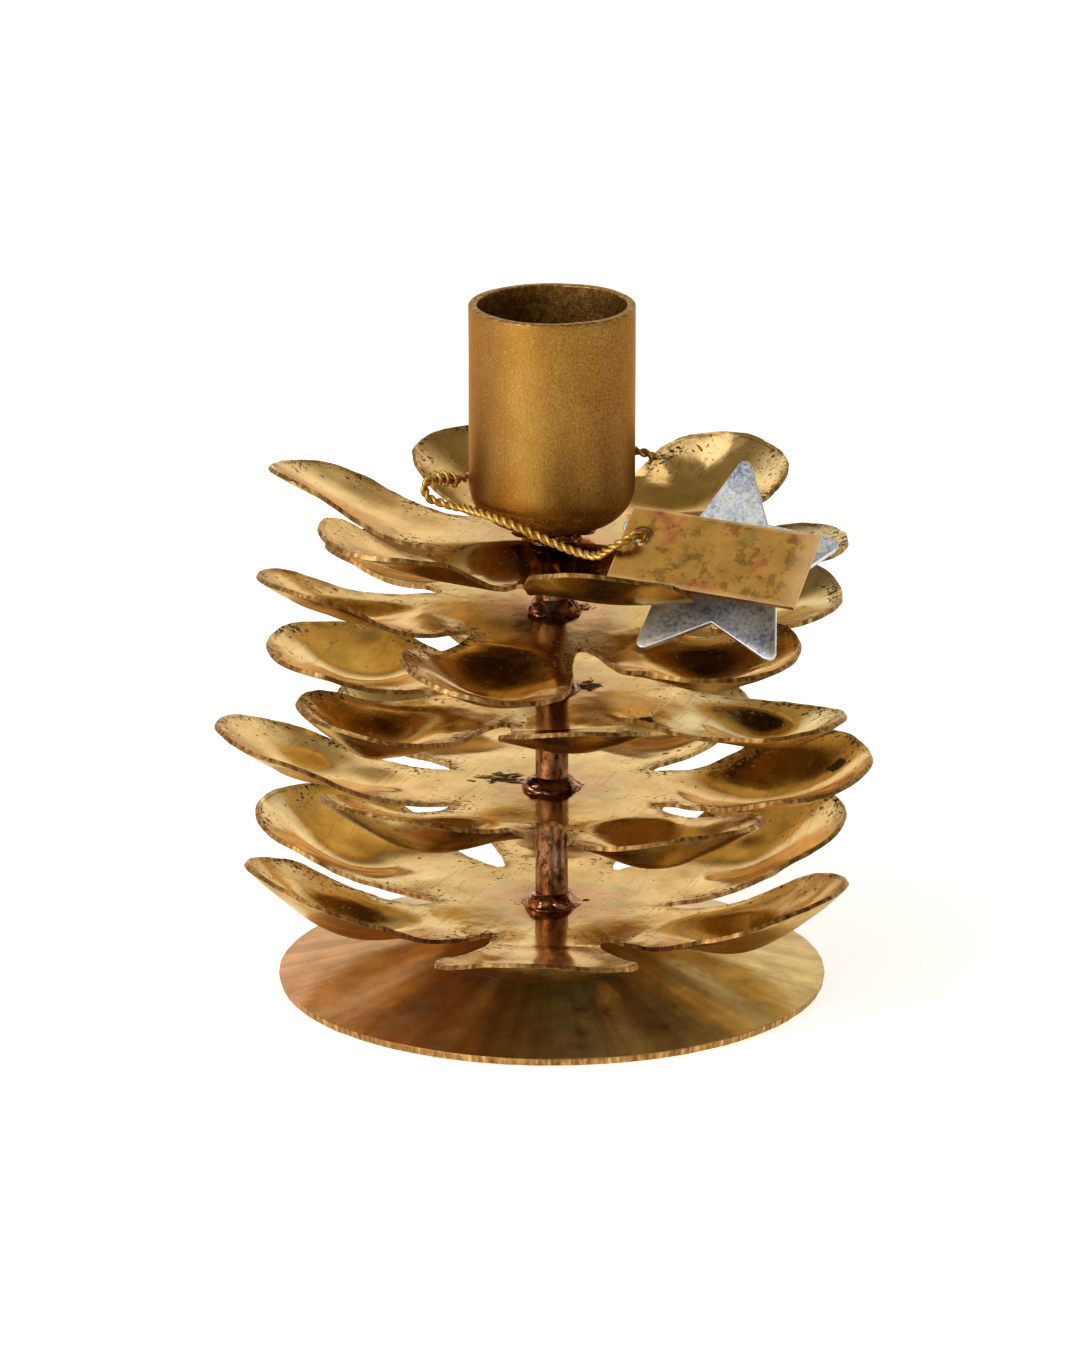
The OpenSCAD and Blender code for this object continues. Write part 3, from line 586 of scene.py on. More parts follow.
whorls = {
    "whorl_1": {
        "top": 11.9, "reach": 51.5, "turn": 26.5, "lobe": 15.0, "toe": (2.6, 0.6), "tilt": (2, 0), "seed": 1,
        "spots": [(-3.2, 0, 5, 1, 0.6)],
        "dents": [(3, 33, -1, 12, 8, -4, 1.2), (5, 31, 0.5, 11, 8, 6, 1.1), (2, 36, 3, 9, 6, 8, 0.7),
                  (0, 34, 0, 10, 7, 0, 0.7)],
        "dips": [],
        "petals": [
            (1, 0.95, 0.2, -4, 0.97, 0.75, 0.4, 1, 0.2), (60, 1, -0.2, 0, 1, 0.75, 0.4, 1, 0.1),
            (120, 1, 0.08, 3.5, 0.97, 0.75, 0.4, 1.2, -0.2), (181, 0.97, 0.55, -1, 1, 0.75, 0.4, 1.4, -0.4),
            (240, 1, 0.42, 0, 1, 0.5, 0.15, 0.4, 0.1), (299, 0.98, 0.4, 2, 1, 0.75, 0.4, 1.5, 0.3),
        ],
    },
    "whorl_2": {
        "top": 30.4, "reach": 52.5, "turn": 0, "lobe": 15.0, "toe": (2.6, 0.6), "tilt": (0, 0), "seed": 2,
        "spots": [(-7.5, 4.2, 7, 1.2, 0.8), (5, 0, 3, 1, 0.5), (43.5, 4.5, 3.6, 1.4, 0.9)],
        "dents": [(3, 38, -1, 6.5, 7, 0, 0.7), (3, 27.5, -0.5, 6.5, 6.5, 0, 0.5), (0, 34, 1, 17, 12, 0, 2.2),
                  (5, 31, 0, 12, 9, 0, 1.0), (4, 31, 0, 12, 9, 0, 1.0)],
        "dips": [],
        "petals": [
            (0, 0.93, -0.22, 4, 1, 0.75, 0.45, 1.2, 0.6), (63, 0.93, -0.2, 0, 1, 0.75, 0.4, 1, 0),
            (120, 0.98, -0.2, 0, 1, 0.75, 0.4, 1, 0), (180, 0.975, 0.27, 5, 0.93, 0.75, 0.4, 1.2, 0.2),
            (237, 0.95, 0.25, 0, 1, 0.68, 0.4, 0.8, 0), (297, 0.96, -0.08, 0, 1, 0.75, 0.4, 0.8, 0.7),
        ],
    },
    "whorl_3": {
        "top": 46.0, "reach": 48.0, "turn": 37, "lobe": 15.0, "toe": (2.6, 0.6), "tilt": (2, 0), "seed": 3,
        "spots": [(5.5, 1, 5, 1, 0.8), (14, -14.5, 2.5, 1, 1.0), (-4, 0, 4, 1, 0.5)],
        "dents": [(3, 31, -1, 11, 7, -8, 0.5), (3, 39, 2.5, 5, 4, 30, 0.6), (2, 32, -2, 10, 7, 0, 1.0),
                  (5, 31, 2, 9, 6.5, 0, 1.0)],
        "dips": [],
        "petals": [
            (0, 0.9, -0.5, 0, 1, 0.75, 0.4, 1, 0), (60, 0.95, -0.3, 0, 1, 0.75, 0.4, 1, 0),
            (124, 0.94, -0.33, 3, 0.95, 0.75, 0.4, 1, 0), (184, 0.96, -0.22, -4, 0.84, 0.75, 0.4, 1.4, 0.1),
            (238, 1, 0.48, 0, 0.74, 0.45, 0.2, 0.4, 0), (300, 0.98, -0.68, -6, 0.82, 0.8, 0.3, 0.8, -1),
        ],
    },
    "whorl_4": {
        "top": 58.5, "reach": 46.0, "turn": 15, "lobe": 12.75, "toe": (2.0, 0.6), "tilt": (3, -3.5),
        "seed": 4,
        "spots": [(4.5, 1.5, 3.4, 1, 0.9), (-3, 0, 4, 1, 0.4)],
        "dents": [(3, 29, -2, 9, 4.5, -3, 0.7), (5, 30, 0.5, 10, 7, 0, 1.1), (0, 31, 0, 9, 7, 0, 0.5)],
        "dips": [],
        "petals": [
            (-7, 0.97, -0.08, 4, 1.05, 0.5, 0.3, 0.5, -1.2), (60, 0.95, 0, 0, 1, 0.6, 0.4, 1, 0),
            (120, 0.94, -0.56, 0, 1, 0.6, 0.4, 1, 0), (180, 0.99, -0.2, 8, 0.88, 0.84, 0.34, 0.3, 0),
            (238, 0.98, -0.48, -6, 0.97, 0.6, 0.3, 1.2, 0), (302, 0.98, -0.27, 3, 1.1, 0.6, 0.4, 1.2, 0.5),
        ],
    },
    "whorl_5": {
        "top": 69.5, "reach": 43.5, "turn": 45, "lobe": 12.0, "toe": (1.8, 0.58), "tilt": (0, 0), "seed": 5,
        "spots": [(0, 0, 7, 1, 0.4)],
        "dents": [],
        "dips": [(-7, -15, 26, 14, 0, 2.5)],
        "petals": [
            (-10, 0.935, 0.12, 4, 1.1, 0.78, 0.36, 0.8, -0.1), (62, 0.93, 0.1, 0, 1.05, 0.65, 0.36, 0.9, 0.1),
            (121, 1.01, 0.4, 9, 1, 0.5, 0.3, 0.5, 0.1), (176, 0.97, 0.52, -5, 0.92, 0.15, 0.25, 0.6, 0.2),
            (240, 1, -0.34, -12, 1.03, 0.95, 0.15, 0.5, 0), (301, 1.05, -0.28, 0, 1, 0.5, 0.2, 0.5, -0.8),
        ],
    },
}


def sink(x, y, dent):
    # how far a punched dent lowers the point (x, y)
    dentX, dentY, halfLength, halfWidth, dentTurn, depth = dent
    u, v = turned(x - dentX, y - dentY, -dentTurn)
    return depth * max(0, 1 - (u / halfLength) ** 2 - (v / halfWidth) ** 2) ** 1.5


def petalPoint(spec, k, s, t):
    # a point of the sheet's top: s runs across petal k from -1 to 1, t from the hub to the tip
    f = whorlForm
    angle, reachShare, lift, roll, width, toeRise, sideRise, dish, _ = spec["petals"][k]
    tip = spec["reach"] * reachShare - f["trim"]
    half = spec["lobe"] * width
    wideAt = tip - half * f["lobeEnd"]
    rootX, rootY = turned(f["hubRadius"], 0, 30 - f["slotHalf"])
    cap = math.radians(f["capAngle"])
    capX = wideAt + (tip - wideAt) * math.cos(cap)
    edgeX = mix(rootX, capX, t)
    if edgeX < wideAt:
        edgeY = mix(rootY, half, smooth((edgeX - rootX) / (wideAt - rootX)))
    else:
        edgeY = half * math.sqrt(max(0, 1 - ((edgeX - wideAt) / (tip - wideAt)) ** 2))
    midX = mix(f["hubRadius"], tip, t)
    bow = (1 - math.sqrt(1 - (s * math.sin(cap)) ** 2)) / (1 - math.cos(cap))
    x = midX - (midX - edgeX) * bow
    y = edgeY * s
    out = max(0, (x - f["hubRadius"]) / (tip - f["hubRadius"]))
    hollow = smooth((x - f["hubRadius"]) / (wideAt - f["hubRadius"]))
    toePower, toeShare = spec["toe"]
    toe = max(0, (x - tip * toeShare) / (tip - tip * toeShare)) ** toePower
    a = spec["turn"] + 60 * k + (angle - 60 * k) * smooth((x - rootX) / (wideAt - rootX))
    # the long sides rise; the petals to the left and right are flatter between them than the others
    fill = f["fill"] * max(1 - f["sideFlat"] * abs(math.sin(math.radians(a))), 0)
    bowed = (y / half) ** 2 + fill * ((edgeY / half) ** 2 - (y / half) ** 2) * (1 - t ** 3)
    z = f["rise"] * (lift * out + toeRise * toe + sideRise * hollow * bowed)
    z += math.tan(math.radians(roll)) * y * smooth(out / f["rollShare"])
    # the dish that is punched into the lobe
    q = (((x - wideAt + f["dishBack"]) / (tip - wideAt + f["dishSpare"])) ** 2
         + (y / (half * f["dishShare"])) ** 2)
    z -= dish * max(0, 1 - q) ** 2
    z -= sum(sink(x, y, dent[1:]) for dent in spec["dents"] if dent[0] == k)
    px, py = turned(x, y, a)
    back, right = spec["tilt"]
    z += math.tan(math.radians(back)) * py + math.tan(math.radians(right)) * px
    z -= sum(sink(px, py, dip) for dip in spec["dips"])
    return Vector((px, py, z))


def makeWhorl(name, spec):
    f = whorlForm
    bm = bmesh.new()
    petalOf = bm.verts.layers.int.new("petal")
    acrossOf, alongOf, fromRim, toneOf, sootOf = [
        bm.verts.layers.float.new(key) for key in ("across", "along", "fromRim", "tone", "soot")]
    perPetal = f["across"] + 1 + f["nose"]
    ring = bmesh.ops.create_circle(bm, segments=6 * perPetal, radius=f["hubRadius"])["verts"]
    back, right = spec["tilt"]

    def tilted(x, y):
        return Vector((x, y, math.tan(math.radians(back)) * y + math.tan(math.radians(right)) * x
                       - sum(sink(x, y, dip) for dip in spec["dips"])))

    for n, v in enumerate(ring):
        k, i = divmod(n, perPetal)
        v[petalOf] = k
        if i <= f["across"]:
            v[acrossOf] = 2 * i / f["across"] - 1
            v.co = petalPoint(spec, k, v[acrossOf], 0)
            continue
        # round end of the slot
        v[acrossOf] = 2
        before = petalPoint(spec, k, 1, 0)
        after = petalPoint(spec, (k + 1) % 6, -1, 0)
        sweep = math.pi * (i - f["across"]) / (f["nose"] + 1)
        middle = (before + after) / 2
        inward = -Vector((middle.x, middle.y, 0)).normalized()
        depth = f["hubRadius"] * (1 - f["noseShare"]) + f["noseSpare"]
        spot = middle + (before - middle) * math.cos(sweep) + inward * depth * math.sin(sweep)
        v.co = tilted(spot.x, spot.y)
    outline = list(bm.edges)
    # inwards to the rod's hole
    edges = outline
    for step in range(1, f["hubRings"] + 1):
        fresh, edges = grow(bm, edges)
        share = (step / f["hubRings"]) ** f["hubPower"]
        for v in fresh:
            angle = math.atan2(v.co.y, v.co.x)
            if step == 1:
                v[alongOf] = v.co.xy.length
            goal = mix(v[alongOf], f["bore"], share)
            v.co = tilted(goal * math.cos(angle), goal * math.sin(angle))
    for v in bm.verts:
        v[alongOf] = 0
    # outwards along each petal
    edges = [e for e in outline if all(v[acrossOf] <= 1 for v in e.verts)
             and e.verts[0][petalOf] == e.verts[1][petalOf]]
    for step in range(1, f["along"] + 1):
        fresh, edges = grow(bm, edges)
        for v in fresh:
            v[alongOf] = step / f["along"]
            v.co = petalPoint(spec, v[petalOf], v[acrossOf], v[alongOf])
    # distance of every point from the cut edge, in millimetres, for the line and the dirt along it
    rim = [v for v in bm.verts if v.is_boundary and v.co.xy.length > 2 * f["bore"]]
    tree = kdtree.KDTree(len(rim))
    for n, v in enumerate(rim):
        tree.insert(v.co, n)
    tree.balance()
    rimSet = set(rim)
    for v in bm.verts:
        v[fromRim] = tree.find(v.co)[2]
        outward = smooth((v.co.xy.length - f["toneFrom"]) / f["toneOver"])
        v[toneOf] = spec["petals"][v[petalOf]][8] * outward
        v[sootOf] = max((amount * max(0, 1 - Vector((v.co.x - x, (v.co.y - y) * stretch)).length / size)
                         for x, y, size, stretch, amount in spec["spots"]), default=0)
    for v in bm.verts:
        # uneven hand work: broad waves in the sheet, and a rim that the shears left ragged
        seed = spec["seed"]
        amount = smooth((v.co.xy.length - f["waveFrom"]) / f["waveOver"])
        v.co.z += amount * (uneven(v.co, f["wave"], seed) + uneven(v.co, f["ripple"], seed + 9))
        nearRim = max(0, 1 - v[fromRim] / f["rimWidth"])
        v.co.z += nearRim * uneven(v.co, f["rimWave"], seed + 40)
        if v in rimSet:
            v.co.x += uneven(v.co, f["ragged"], seed + 20) + uneven(v.co, f["nicked"], seed + 50)
            v.co.y += uneven(v.co, f["ragged"], seed + 30) + uneven(v.co, f["nicked"], seed + 60)
    for v in bm.verts:
        v.co.z += spec["top"]
    piece = finishMesh(bm, name + "Sheet", [polishedBrass, cutEdge, underside])
    thicken(piece, f["sheet"], f["rubbed"], under=2, rim=1)
    return place(piece, "root", "polished_brass", name)


for whorlName, whorlSpec in whorls.items():
    makeWhorl(whorlName, whorlSpec)
print("whorls made")


# Foot: a shallow spun cone on a flat land
foot = {
    "radius": 41.6, "rise": 9.0, "sheet": 1.2, "hole": 2.56, "rubbed": 0.15, "around": 256,
    # shares of the radius and of the rise, from the rim inwards
    "section": [(0.97, 0.035), (0.9, 0.12), (0.8, 0.24), (0.7, 0.365), (0.6, 0.485), (0.5, 0.605),
                (0.4, 0.722), (0.3, 0.835), (0.22, 0.925), (0.16, 0.98), (0.12, 1)],
    "spokes": (0.16, 2.6), "spokeRing": 8, "hollows": (0.1, 16), "ragged": (0.1, 2.2),
    "flatWithin": 20.0, "rimWidth": 5.0, "cutWidth": 0.5,
}


def makeFoot():
    bm = bmesh.new()
    crown = foot["rise"] - foot["sheet"]
    ring = bmesh.ops.create_circle(bm, segments=foot["around"], radius=foot["radius"])["verts"]
    edges = list(bm.edges)
    for v in ring:
        v.co.z = foot["sheet"]
    for share, height in foot["section"] + [(foot["hole"] / foot["radius"], 1)]:
        fresh, edges = grow(bm, edges)
        for v in fresh:
            flat = v.co.xy.normalized() * foot["radius"] * share
            v.co = (flat.x, flat.y, foot["sheet"] + crown * height)
    slopes = [e for e in bm.edges if abs(e.verts[0].co.z - e.verts[1].co.z) > 0.01]
    bmesh.ops.subdivide_edges(bm, edges=slopes, cuts=2, use_grid_fill=True)
    for v in bm.verts:
        radius = v.co.xy.length
        way = v.co.xy.to_3d().normalized()
        amount = smooth(radius / foot["flatWithin"]) * smooth((foot["radius"] - radius) / foot["rimWidth"])
        # faint spokes and hollows from the spinning
        spokes = uneven(way * foot["spokeRing"], foot["spokes"], 3)
        v.co.z += amount * (spokes + uneven(v.co, foot["hollows"], 4))
        if radius > foot["radius"] - foot["cutWidth"]:
            v.co.x += uneven(v.co, foot["ragged"], 5)
            v.co.y += uneven(v.co, foot["ragged"], 6)
    piece = finishMesh(bm, "spunFoot", [satinBrass, cutEdge])
    thicken(piece, foot["sheet"], foot["rubbed"], rim=1)
    return place(piece, "root", "satin_brass", "foot")


makeFoot()
print("foot made")


# Rod and the runs of brazing round it
rod = {"radius": 2.5, "around": 48, "step": 0.7, "scale": (0.05, 2.2), "worn": 0.03}


def makeRod():
    low, high = (corner.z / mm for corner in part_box("rod"))
    bm = bmesh.new()
    bmesh.ops.create_cone(bm, cap_ends=True, segments=rod["around"], radius1=rod["radius"],
                          radius2=rod["radius"], depth=high - low,
                          matrix=Matrix.Translation((0, 0, (high + low) / 2)))
    sides = [e for e in bm.edges if abs(e.verts[0].co.z - e.verts[1].co.z) > 1]
    bmesh.ops.subdivide_edges(bm, edges=sides, cuts=round((high - low) / rod["step"]), use_grid_fill=True)
    for v in bm.verts:
        if v.co.xy.length > 1:
            way = v.co.xy.to_3d().normalized()
            v.co += way * (uneven(v.co, rod["scale"], 11) - rod["worn"])
    return place(finishMesh(bm, "brazedRod", [rodBronze]), "root", "rod_bronze", "rod")


# How run metal strays from round mounds: broad and fine lumps and the first mound's own, each by size,
# then how thick it gets by the rod and how deep its foot is sunk, as shares of its height
beadForm = {"broad": 0.6, "fine": 0.2, "fineShare": 0.35, "mound": 0.4, "thickest": 1.2, "thinPower": 1.4,
            "sunk": -0.06, "clear": 0.05, "cuts": 5}


def makeBead(name, spec, seed):
    # a mound of run metal with lumps on it, kept clear of its solid's top and sides
    f = beadForm
    low, high = (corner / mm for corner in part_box(name))
    bm = bmesh.new()
    reach, tall, rough, burnt, lumps = spec
    clear, sunk = f["clear"], f["sunk"]
    shapes = [((0, 0), reach, tall)] + [(turned(away, 0, angle), size, height)
                                        for angle, away, size, height in lumps]
    for n, ((x, y), size, height) in enumerate(shapes):
        for v in bmesh.ops.create_icosphere(bm, subdivisions=f["cuts"], radius=1)["verts"]:
            lump = (1 + rough * wobble(v.co, f["broad"], seed + n)
                    + f["fineShare"] * rough * wobble(v.co, f["fine"], seed + n + 9))
            spot = Vector((v.co.x * size * lump + x, v.co.y * size * lump + y))
            spot *= min(1, (high.x - clear) / max(spot.length, clear))
            up = max(v.co.z, sunk) * lump
            if n == 0 and up > 0:
                # the first mound thins outwards, as metal does that has wetted both faces
                thin = max(0, min(f["thickest"], (reach - spot.length) / (reach - rod["radius"])))
                up = thin ** f["thinPower"] * (1 + rough * wobble(v.co, f["mound"], seed))
            rise = min(max(up, sunk) * height, high.z - low.z - 3 * clear)
            v.co = (*spot, low.z + 2 * clear + rise)
    return place(finishMesh(bm, name + "Run", [burntFlux if burnt else brazing]), "root", "brazing", name)


crust = {"broad": (0.22, 0.7), "fine": (0.08, 0.25), "thick": 0.2, "cuts": 4}


def makeFluxSpots(name, spots):
    # thin crusts of burnt flux on a hub, as (x, y, z, length, width, turn)
    bm = bmesh.new()
    for n, (x, y, z, length, width, turn) in enumerate(spots):
        for v in bmesh.ops.create_icosphere(bm, subdivisions=crust["cuts"], radius=1)["verts"]:
            lump = 1 + uneven(v.co, crust["broad"], n + 60) + uneven(v.co, crust["fine"], n + 70)
            px, py = turned(v.co.x * length * lump, v.co.y * width * lump, turn)
            v.co = (x + px, y + py, z + v.co.z * crust["thick"] * lump)
    return place(finishMesh(bm, name, [burntFlux]), "root", "brazing")


# A bead's row: reach from the rod's axis, height, roughness, burnt or bright, and its lumps, each as
# angle, distance from the axis, radius and height.
beads = {
    "foot_bead": (4.4, 1.6, 0.12, False, []),
    "bead_1": (4.5, 2.2, 0.14, False, [(220, 2.0, 2.5, 2.5), (300, 1.9, 2.3, 1.8), (15, 2.0, 2.0, 1.2)]),
    "bead_2": (4.5, 2.0, 0.16, False, [(200, 2.1, 2.4, 1.8), (320, 1.9, 2.3, 1.4)]),
    "bead_3": (4.4, 1.6, 0.16, False, [(170, 2.0, 2.1, 1.3), (350, 2.0, 2.1, 1.2)]),
    "bead_4": (4.5, 2.2, 0.14, False, [(225, 2.1, 2.4, 2.0), (345, 2.3, 2.0, 2.0)]),
    "bead_5": (4.5, 1.1, 0.2, True, [(250, 2.2, 2.2, 1.1), (330, 2.4, 2.0, 1.0)]),
    "cup_bead": (5.6, 1.0, 0.25, True, [(230, 3.0, 2.6, 1.0), (300, 3.4, 2.4, 1.0), (10, 3.6, 2.2, 0.9)]),
}
fluxSpots = {
    "whorl2Flux": [(-9.2, 4.4, 30.34, 2.0, 0.7, -10), (-5.4, 4.9, 30.34, 1.2, 0.6, 20),
                   (-5.6, 1.7, 30.34, 1.5, 0.5, -8), (-12.2, 2.6, 30.34, 0.9, 0.4, -20)],
    "whorl3Flux": [(4.5, 1.2, 46.0, 1.3, 0.6, 20)],
    "whorl4Flux": [(4.7, 0.8, 58.25, 1.0, 0.6, 0)],
    "whorl1Flux": [(5.2, 0.8, 11.9, 0.6, 0.35, 15)],
}


makeRod()
for beadSeed, (beadName, beadSpec) in enumerate(beads.items()):
    makeBead(beadName, beadSpec, beadSeed + 40)
for fluxName, fluxPlaces in fluxSpots.items():
    makeFluxSpots(fluxName, fluxPlaces)
print("rod and brazing made")


# Candle cup: straight wall, round bottom, blasted inside and out
cup = {
    "outer": 12.5, "bore": 11.2, "height": 34.1, "round": 6.5, "lip": 0.2, "middle": 3,
    "around": 160, "bendSteps": 12, "lipSteps": 4, "rows": 18,
    "uneven": (0.06, 9), "mouthWave": (0.14, 6), "mouthRing": 10, "mouthDrop": 0.1, "mouthDepth": 6.0,
}


def makeCup():
    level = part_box("candle_cup")[0].z / mm
    outer, bore, bend, lip, rows = (cup[key] for key in ("outer", "bore", "round", "lip", "rows"))
    wall = outer - bore
    inner = bend - wall
    brim = cup["height"] - lip

    def arc(centreX, centreZ, radius, start, end, count):
        angles = [math.radians(mix(start, end, n / count)) for n in range(count + 1)]
        return [(centreX + radius * math.cos(a), centreZ + radius * math.sin(a)) for a in angles]

    # from the bottom's middle up the outside, over the lip and down the bore
    section = [(0, 0), (cup["middle"], 0)] + arc(outer - bend, bend, bend, -90, 0, cup["bendSteps"])
    section += [(outer, mix(bend, brim, n / rows)) for n in range(1, rows)]
    section += arc(outer - lip, brim, lip, 0, 90, cup["lipSteps"])
    section += arc(bore + lip, brim, lip, 90, 180, cup["lipSteps"])
    section += [(bore, mix(brim, bend, n / rows)) for n in range(1, rows)]
    section += arc(bore - inner, bend, inner, 0, -90, cup["bendSteps"]) + [(cup["middle"], wall), (0, wall)]
    bm = bmesh.new()
    line = [bm.verts.new((x, 0, z)) for x, z in section]
    edges = [bm.edges.new(pair) for pair in zip(line, line[1:])]
    bmesh.ops.spin(bm, geom=line + edges, axis=(0, 0, 1), cent=(0, 0, 0), angle=2 * math.pi,
                   steps=cup["around"], use_merge=True, use_duplicate=False)
    bmesh.ops.remove_doubles(bm, verts=bm.verts, dist=1e-4)
    bmesh.ops.recalc_face_normals(bm, faces=bm.faces)
    for face in bm.faces:
        spot = face.calc_center_median()
        within = spot.xy.length < outer - wall / 2 and spot.z > wall / 2
        face.material_index = 2 if spot.z > brim else int(within)
    for v in bm.verts:
        way = v.co.xy.to_3d()
        near = smooth((v.co.z - cup["height"]) / cup["mouthDepth"] + 1)
        if way.length > 1:
            v.co += way.normalized() * uneven(v.co, cup["uneven"], 21)
        # the mouth isn't quite level
        wave = uneven(way.normalized() * cup["mouthRing"], cup["mouthWave"], 22)
        v.co.z += near * (wave - cup["mouthDrop"])
        v.co.z += level
    piece = finishMesh(bm, "candleCup", [cupOutside, cupInside, cutEdge], False)
    return place(piece, "root", "blasted_brass", "candle_cup")


makeCup()
print("cup made")


# Plate tag: thin stamped plate with a raised lip round its hole, its face left bare
plate = {
    "length": 29.9, "width": 12.7, "thick": 0.8, "holeRadius": 1.3, "holeEnd": 3, "holeUp": 7.7,
    "lean": 42, "turn": -22, "droop": -3, "lip": 0.22, "lipWidth": 0.7, "worn": 0.25, "lipWorn": 0.45,
    "rubbed": 0.16, "uneven": (0.05, 7), "around": 96, "rings": 12, "ringPower": 1.7, "lipShare": 0.8,
}
# how far the star's edges are rounded off, how near to each other its points are merged, and up to
# what angle its faces count as one
star = {"rounded": 0.3, "merged": 0.002, "flatAngle": 2}


def makePlate():
    bm = bmesh.new()
    wear = bm.verts.layers.float.new("wear")
    index = bm.verts.layers.int.new("ray")
    left, right = -plate["holeEnd"], plate["length"] - plate["holeEnd"]
    low, high = -plate["holeUp"], plate["width"] - plate["holeUp"]
    ring = bmesh.ops.create_circle(bm, segments=plate["around"], radius=plate["holeRadius"])["verts"]
    edges = list(bm.edges)
    # each ray from the hole ends on the plate's outline, and the rays next to a corner end in it
    goals = {}
    corners = [Vector((x, y)) for x in (left, right) for y in (low, high)]
    ways = {v: v.co.xy.normalized() for v in ring}
    for v, way in ways.items():
        reach = min((right if way.x > 0 else left) / way.x if abs(way.x) > 1e-6 else 1e6,
                    (high if way.y > 0 else low) / way.y if abs(way.y) > 1e-6 else 1e6)
        goals[v] = way * reach
    for corner in corners:
        nearest = min(ways, key=lambda v: (ways[v] - corner.normalized()).length)
        goals[nearest] = corner
    for n, v in enumerate(ring):
        v[index] = n
    goals = [goals[v] for v in ring]
    for step in range(1, plate["rings"] + 1):
        fresh, edges = grow(bm, edges)
        share = (step / plate["rings"]) ** plate["ringPower"]
        for v in fresh:
            goal = goals[v[index]]
            start = goal.normalized() * plate["holeRadius"]
            spot = start.lerp(goal, share)
            v.co = (spot.x, spot.y, 0)
    top = plate["thick"] / 2
    for v in bm.verts:
        away = v.co.xy.length - plate["holeRadius"]
        inside = min(v.co.x - left, right - v.co.x, v.co.y - low, high - v.co.y)
        lip = plate["lip"] * max(0, 1 - away / plate["lipWidth"]) ** 2
        v.co.z = top + lip + uneven(v.co, plate["uneven"], 31)
        v[wear] = (max(0, 1 - inside / plate["worn"])
                   + plate["lipShare"] * max(0, 1 - away / plate["lipWorn"]))
    # the plate is turned about its hole, where its hinge is, and hung on the wire
    hole = Vector(next(j for j in frame["joints"] if j["name"] == "plate_swing")["pos_m"]) / mm
    turns = [Matrix.Rotation(math.radians(plate[key]), 4, axis)
             for key, axis in (("turn", "Z"), ("lean", "X"), ("droop", "Z"))]
    matrix = Matrix.Translation(hole) @ (turns[0] @ turns[1] @ turns[2])
    bmesh.ops.transform(bm, matrix=matrix, verts=bm.verts)
    piece = thicken(finishMesh(bm, "plateTag", [plateBrass]), plate["thick"], plate["rubbed"], 3)
    return place(piece, "plate", "plate_brass", "plate_tag")


def makeStar():
    # starts from the frame's own star, whose loose triangles are merged first
    bm = bmesh.new()
    bm.from_mesh(frame["nodes"]["star_tag"].data)
    for v in bm.verts:
        v.co /= mm
    bmesh.ops.remove_doubles(bm, verts=bm.verts, dist=star["merged"])
    bmesh.ops.dissolve_limit(bm, angle_limit=math.radians(star["flatAngle"]), verts=bm.verts, edges=bm.edges)
    sharp = [e for e in bm.edges if e.is_manifold and e.calc_face_angle() > math.radians(edgeAngle)]
    rounded = bmesh.ops.bevel(bm, geom=sharp, offset=star["rounded"], offset_type="OFFSET", affect="EDGES",
                              segments=3, profile=0.5, material=-1, clamp_overlap=True)
    for face in rounded["faces"]:
        face.material_index = 1
    bmesh.ops.triangulate(bm, faces=bm.faces)
    piece = finishMesh(bm, "starTag", [nickelSilver, nickelEdge], False)
    return place(piece, "star", "nickel_silver", "star_tag")


makePlate()
makeStar()
print("tags made")


# Floor, lamps and world
studio = {
    "floor": 4000, "drop": 0.2, "floorGlow": 0.74, "sideShade": 0.66, "aim": (0, 0, 50),
    # sky behind the object and in front of it: height of the direction and its colour
    "behind": [(0.0, "#C4BCB0"), (0.14, "#E4DFD8"), (0.25, "#FFFFFF"), (0.36, "#FFFFFF"), (0.5, "#DDD8D0"),
               (0.6, "#A69C84"), (0.69, "#7E7254")],
    "before": [(0.0, "#A8A297"), (0.5, "#807868"), (0.7, "#7E7254")],
    "lamps": [
        ("keyLamp", (-950, -850, 500), 900, 8.0),
        ("topLamp", (-500, -250, 1100), 900, 2.6),
    ],
}


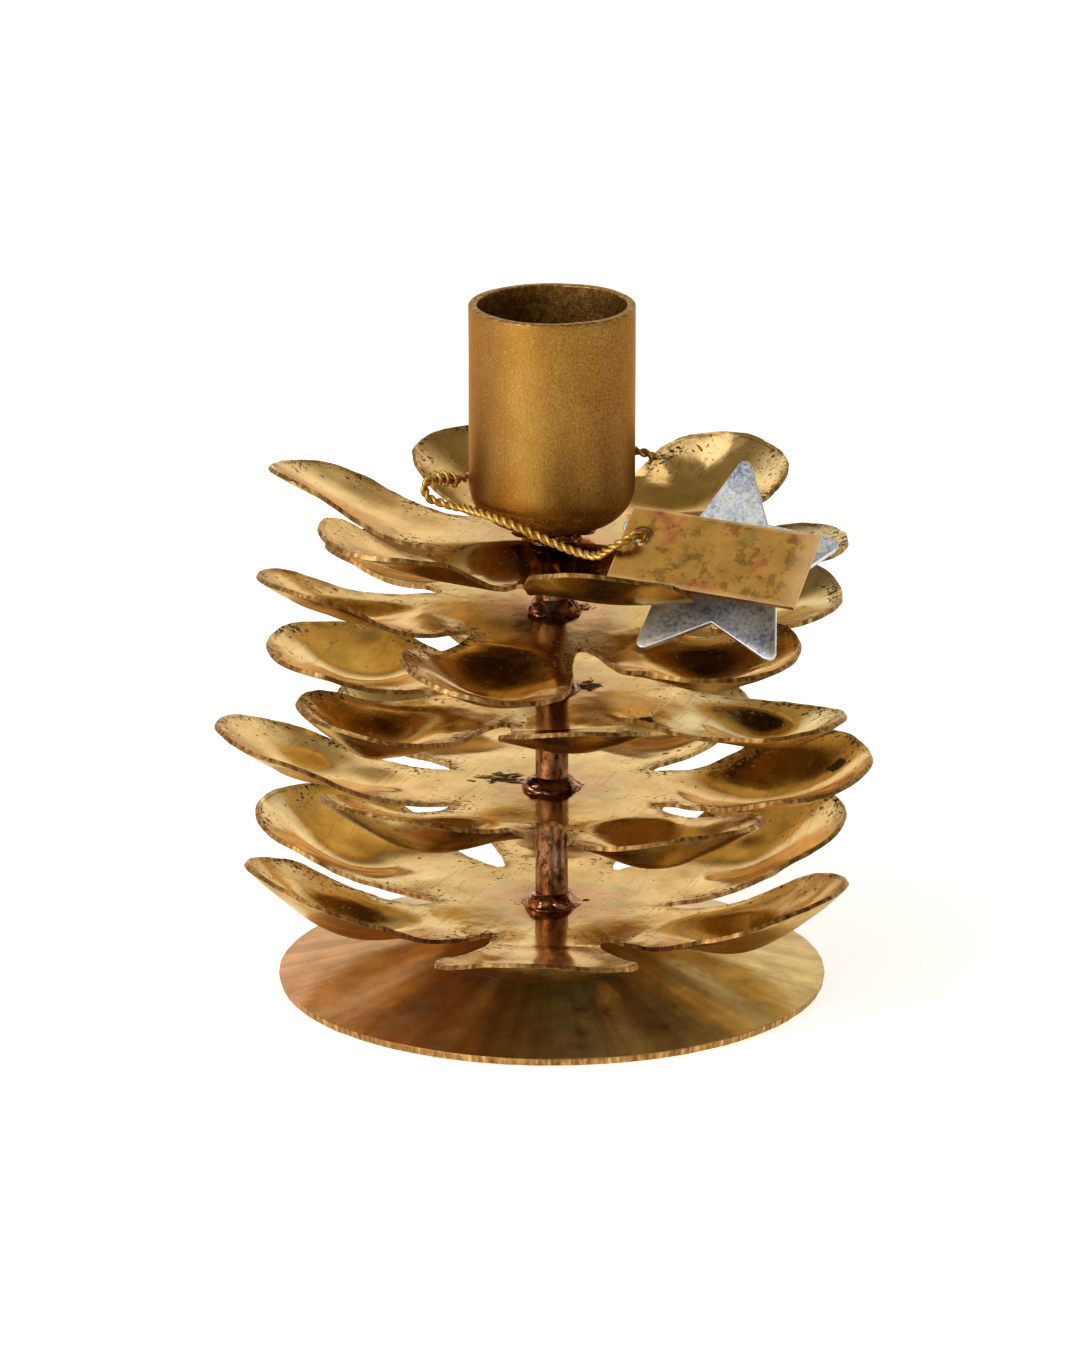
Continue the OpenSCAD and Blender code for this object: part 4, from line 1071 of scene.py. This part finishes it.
def makeStudio():
    bm = bmesh.new()
    bmesh.ops.create_grid(bm, x_segments=1, y_segments=1, size=studio["floor"])
    floor = finishMesh(bm, "floor", [])
    floor.location.z = -studio["drop"] * mm
    material = bpy.data.materials.new("paleFloor")
    material.use_nodes = True
    tree = material.node_tree
    tree.nodes.clear()
    ray = addNode(tree, "LightPath")
    seen = addNode(tree, "Math", {"operation": "MAXIMUM", 0: ray.outputs["Is Glossy Ray"],
                                  1: ray.outputs["Is Transmission Ray"]})
    seen = addNode(tree, "Math", {"operation": "MAXIMUM", 0: ray.outputs["Is Camera Ray"], 1: seen})
    seen = addNode(tree, "Math", {"operation": "MULTIPLY", 0: seen, 1: studio["floorGlow"]})
    paint = addNode(tree, "BsdfDiffuse", {"Color": colour("#F4F4F2")})
    glow = addNode(tree, "Emission", {"Color": colour("#FFFFFF"), "Strength": seen})
    both = addNode(tree, "AddShader", {0: paint, 1: glow})
    addNode(tree, "OutputMaterial", {"Surface": both})
    floor.data.materials.append(material)

    for name, spot, size, power in studio["lamps"]:
        data = bpy.data.lights.new(name, "AREA")
        data.shape = "SQUARE"
        data.size = size * mm
        data.energy = power
        lamp = bpy.data.objects.new(name, data)
        bpy.context.scene.collection.objects.link(lamp)
        lamp.location = Vector(spot) * mm
        lamp.rotation_euler = (Vector(studio["aim"]) - Vector(spot)).to_track_quat("-Z", "Y").to_euler()

    # white round the horizon behind and darker overhead, so that the brass has something to mirror
    world = bpy.data.worlds.new("studio")
    bpy.context.scene.world = world
    world.use_nodes = True
    tree = world.node_tree
    tree.nodes.clear()
    way = addNode(tree, "SeparateXYZ", {"Vector": addNode(tree, "TexCoord").outputs["Generated"]})
    behind = addNode(tree, "ValToRGB", {"stops": studio["behind"], "Fac": way.outputs[2]})
    before = addNode(tree, "ValToRGB", {"stops": studio["before"], "Fac": way.outputs[2]})
    back = addNode(tree, "MapRange", {0: way.outputs[1], 1: -0.25, 2: 0.1, 3: 0.0, 4: 1.0})
    sky = addNode(tree, "Mix", {"data_type": "RGBA", 0: back, 6: before, 7: behind}).outputs[2]
    # dark screens at both sides
    aside = addNode(tree, "Math", {"operation": "ABSOLUTE", 0: way.outputs[0]})
    aside = addNode(tree, "MapRange", {0: aside, 1: 0.55, 2: 0.85, 3: 1.0, 4: studio["sideShade"]})
    sky = addNode(tree, "VectorMath", {"operation": "SCALE", 0: sky, "Scale": aside})
    light = addNode(tree, "Background", {"Strength": 1.0, "Color": sky})
    addNode(tree, "OutputWorld", {"Surface": light})
    bpy.context.scene.view_settings.view_transform = "Standard"


makeStudio()
print("studio made")
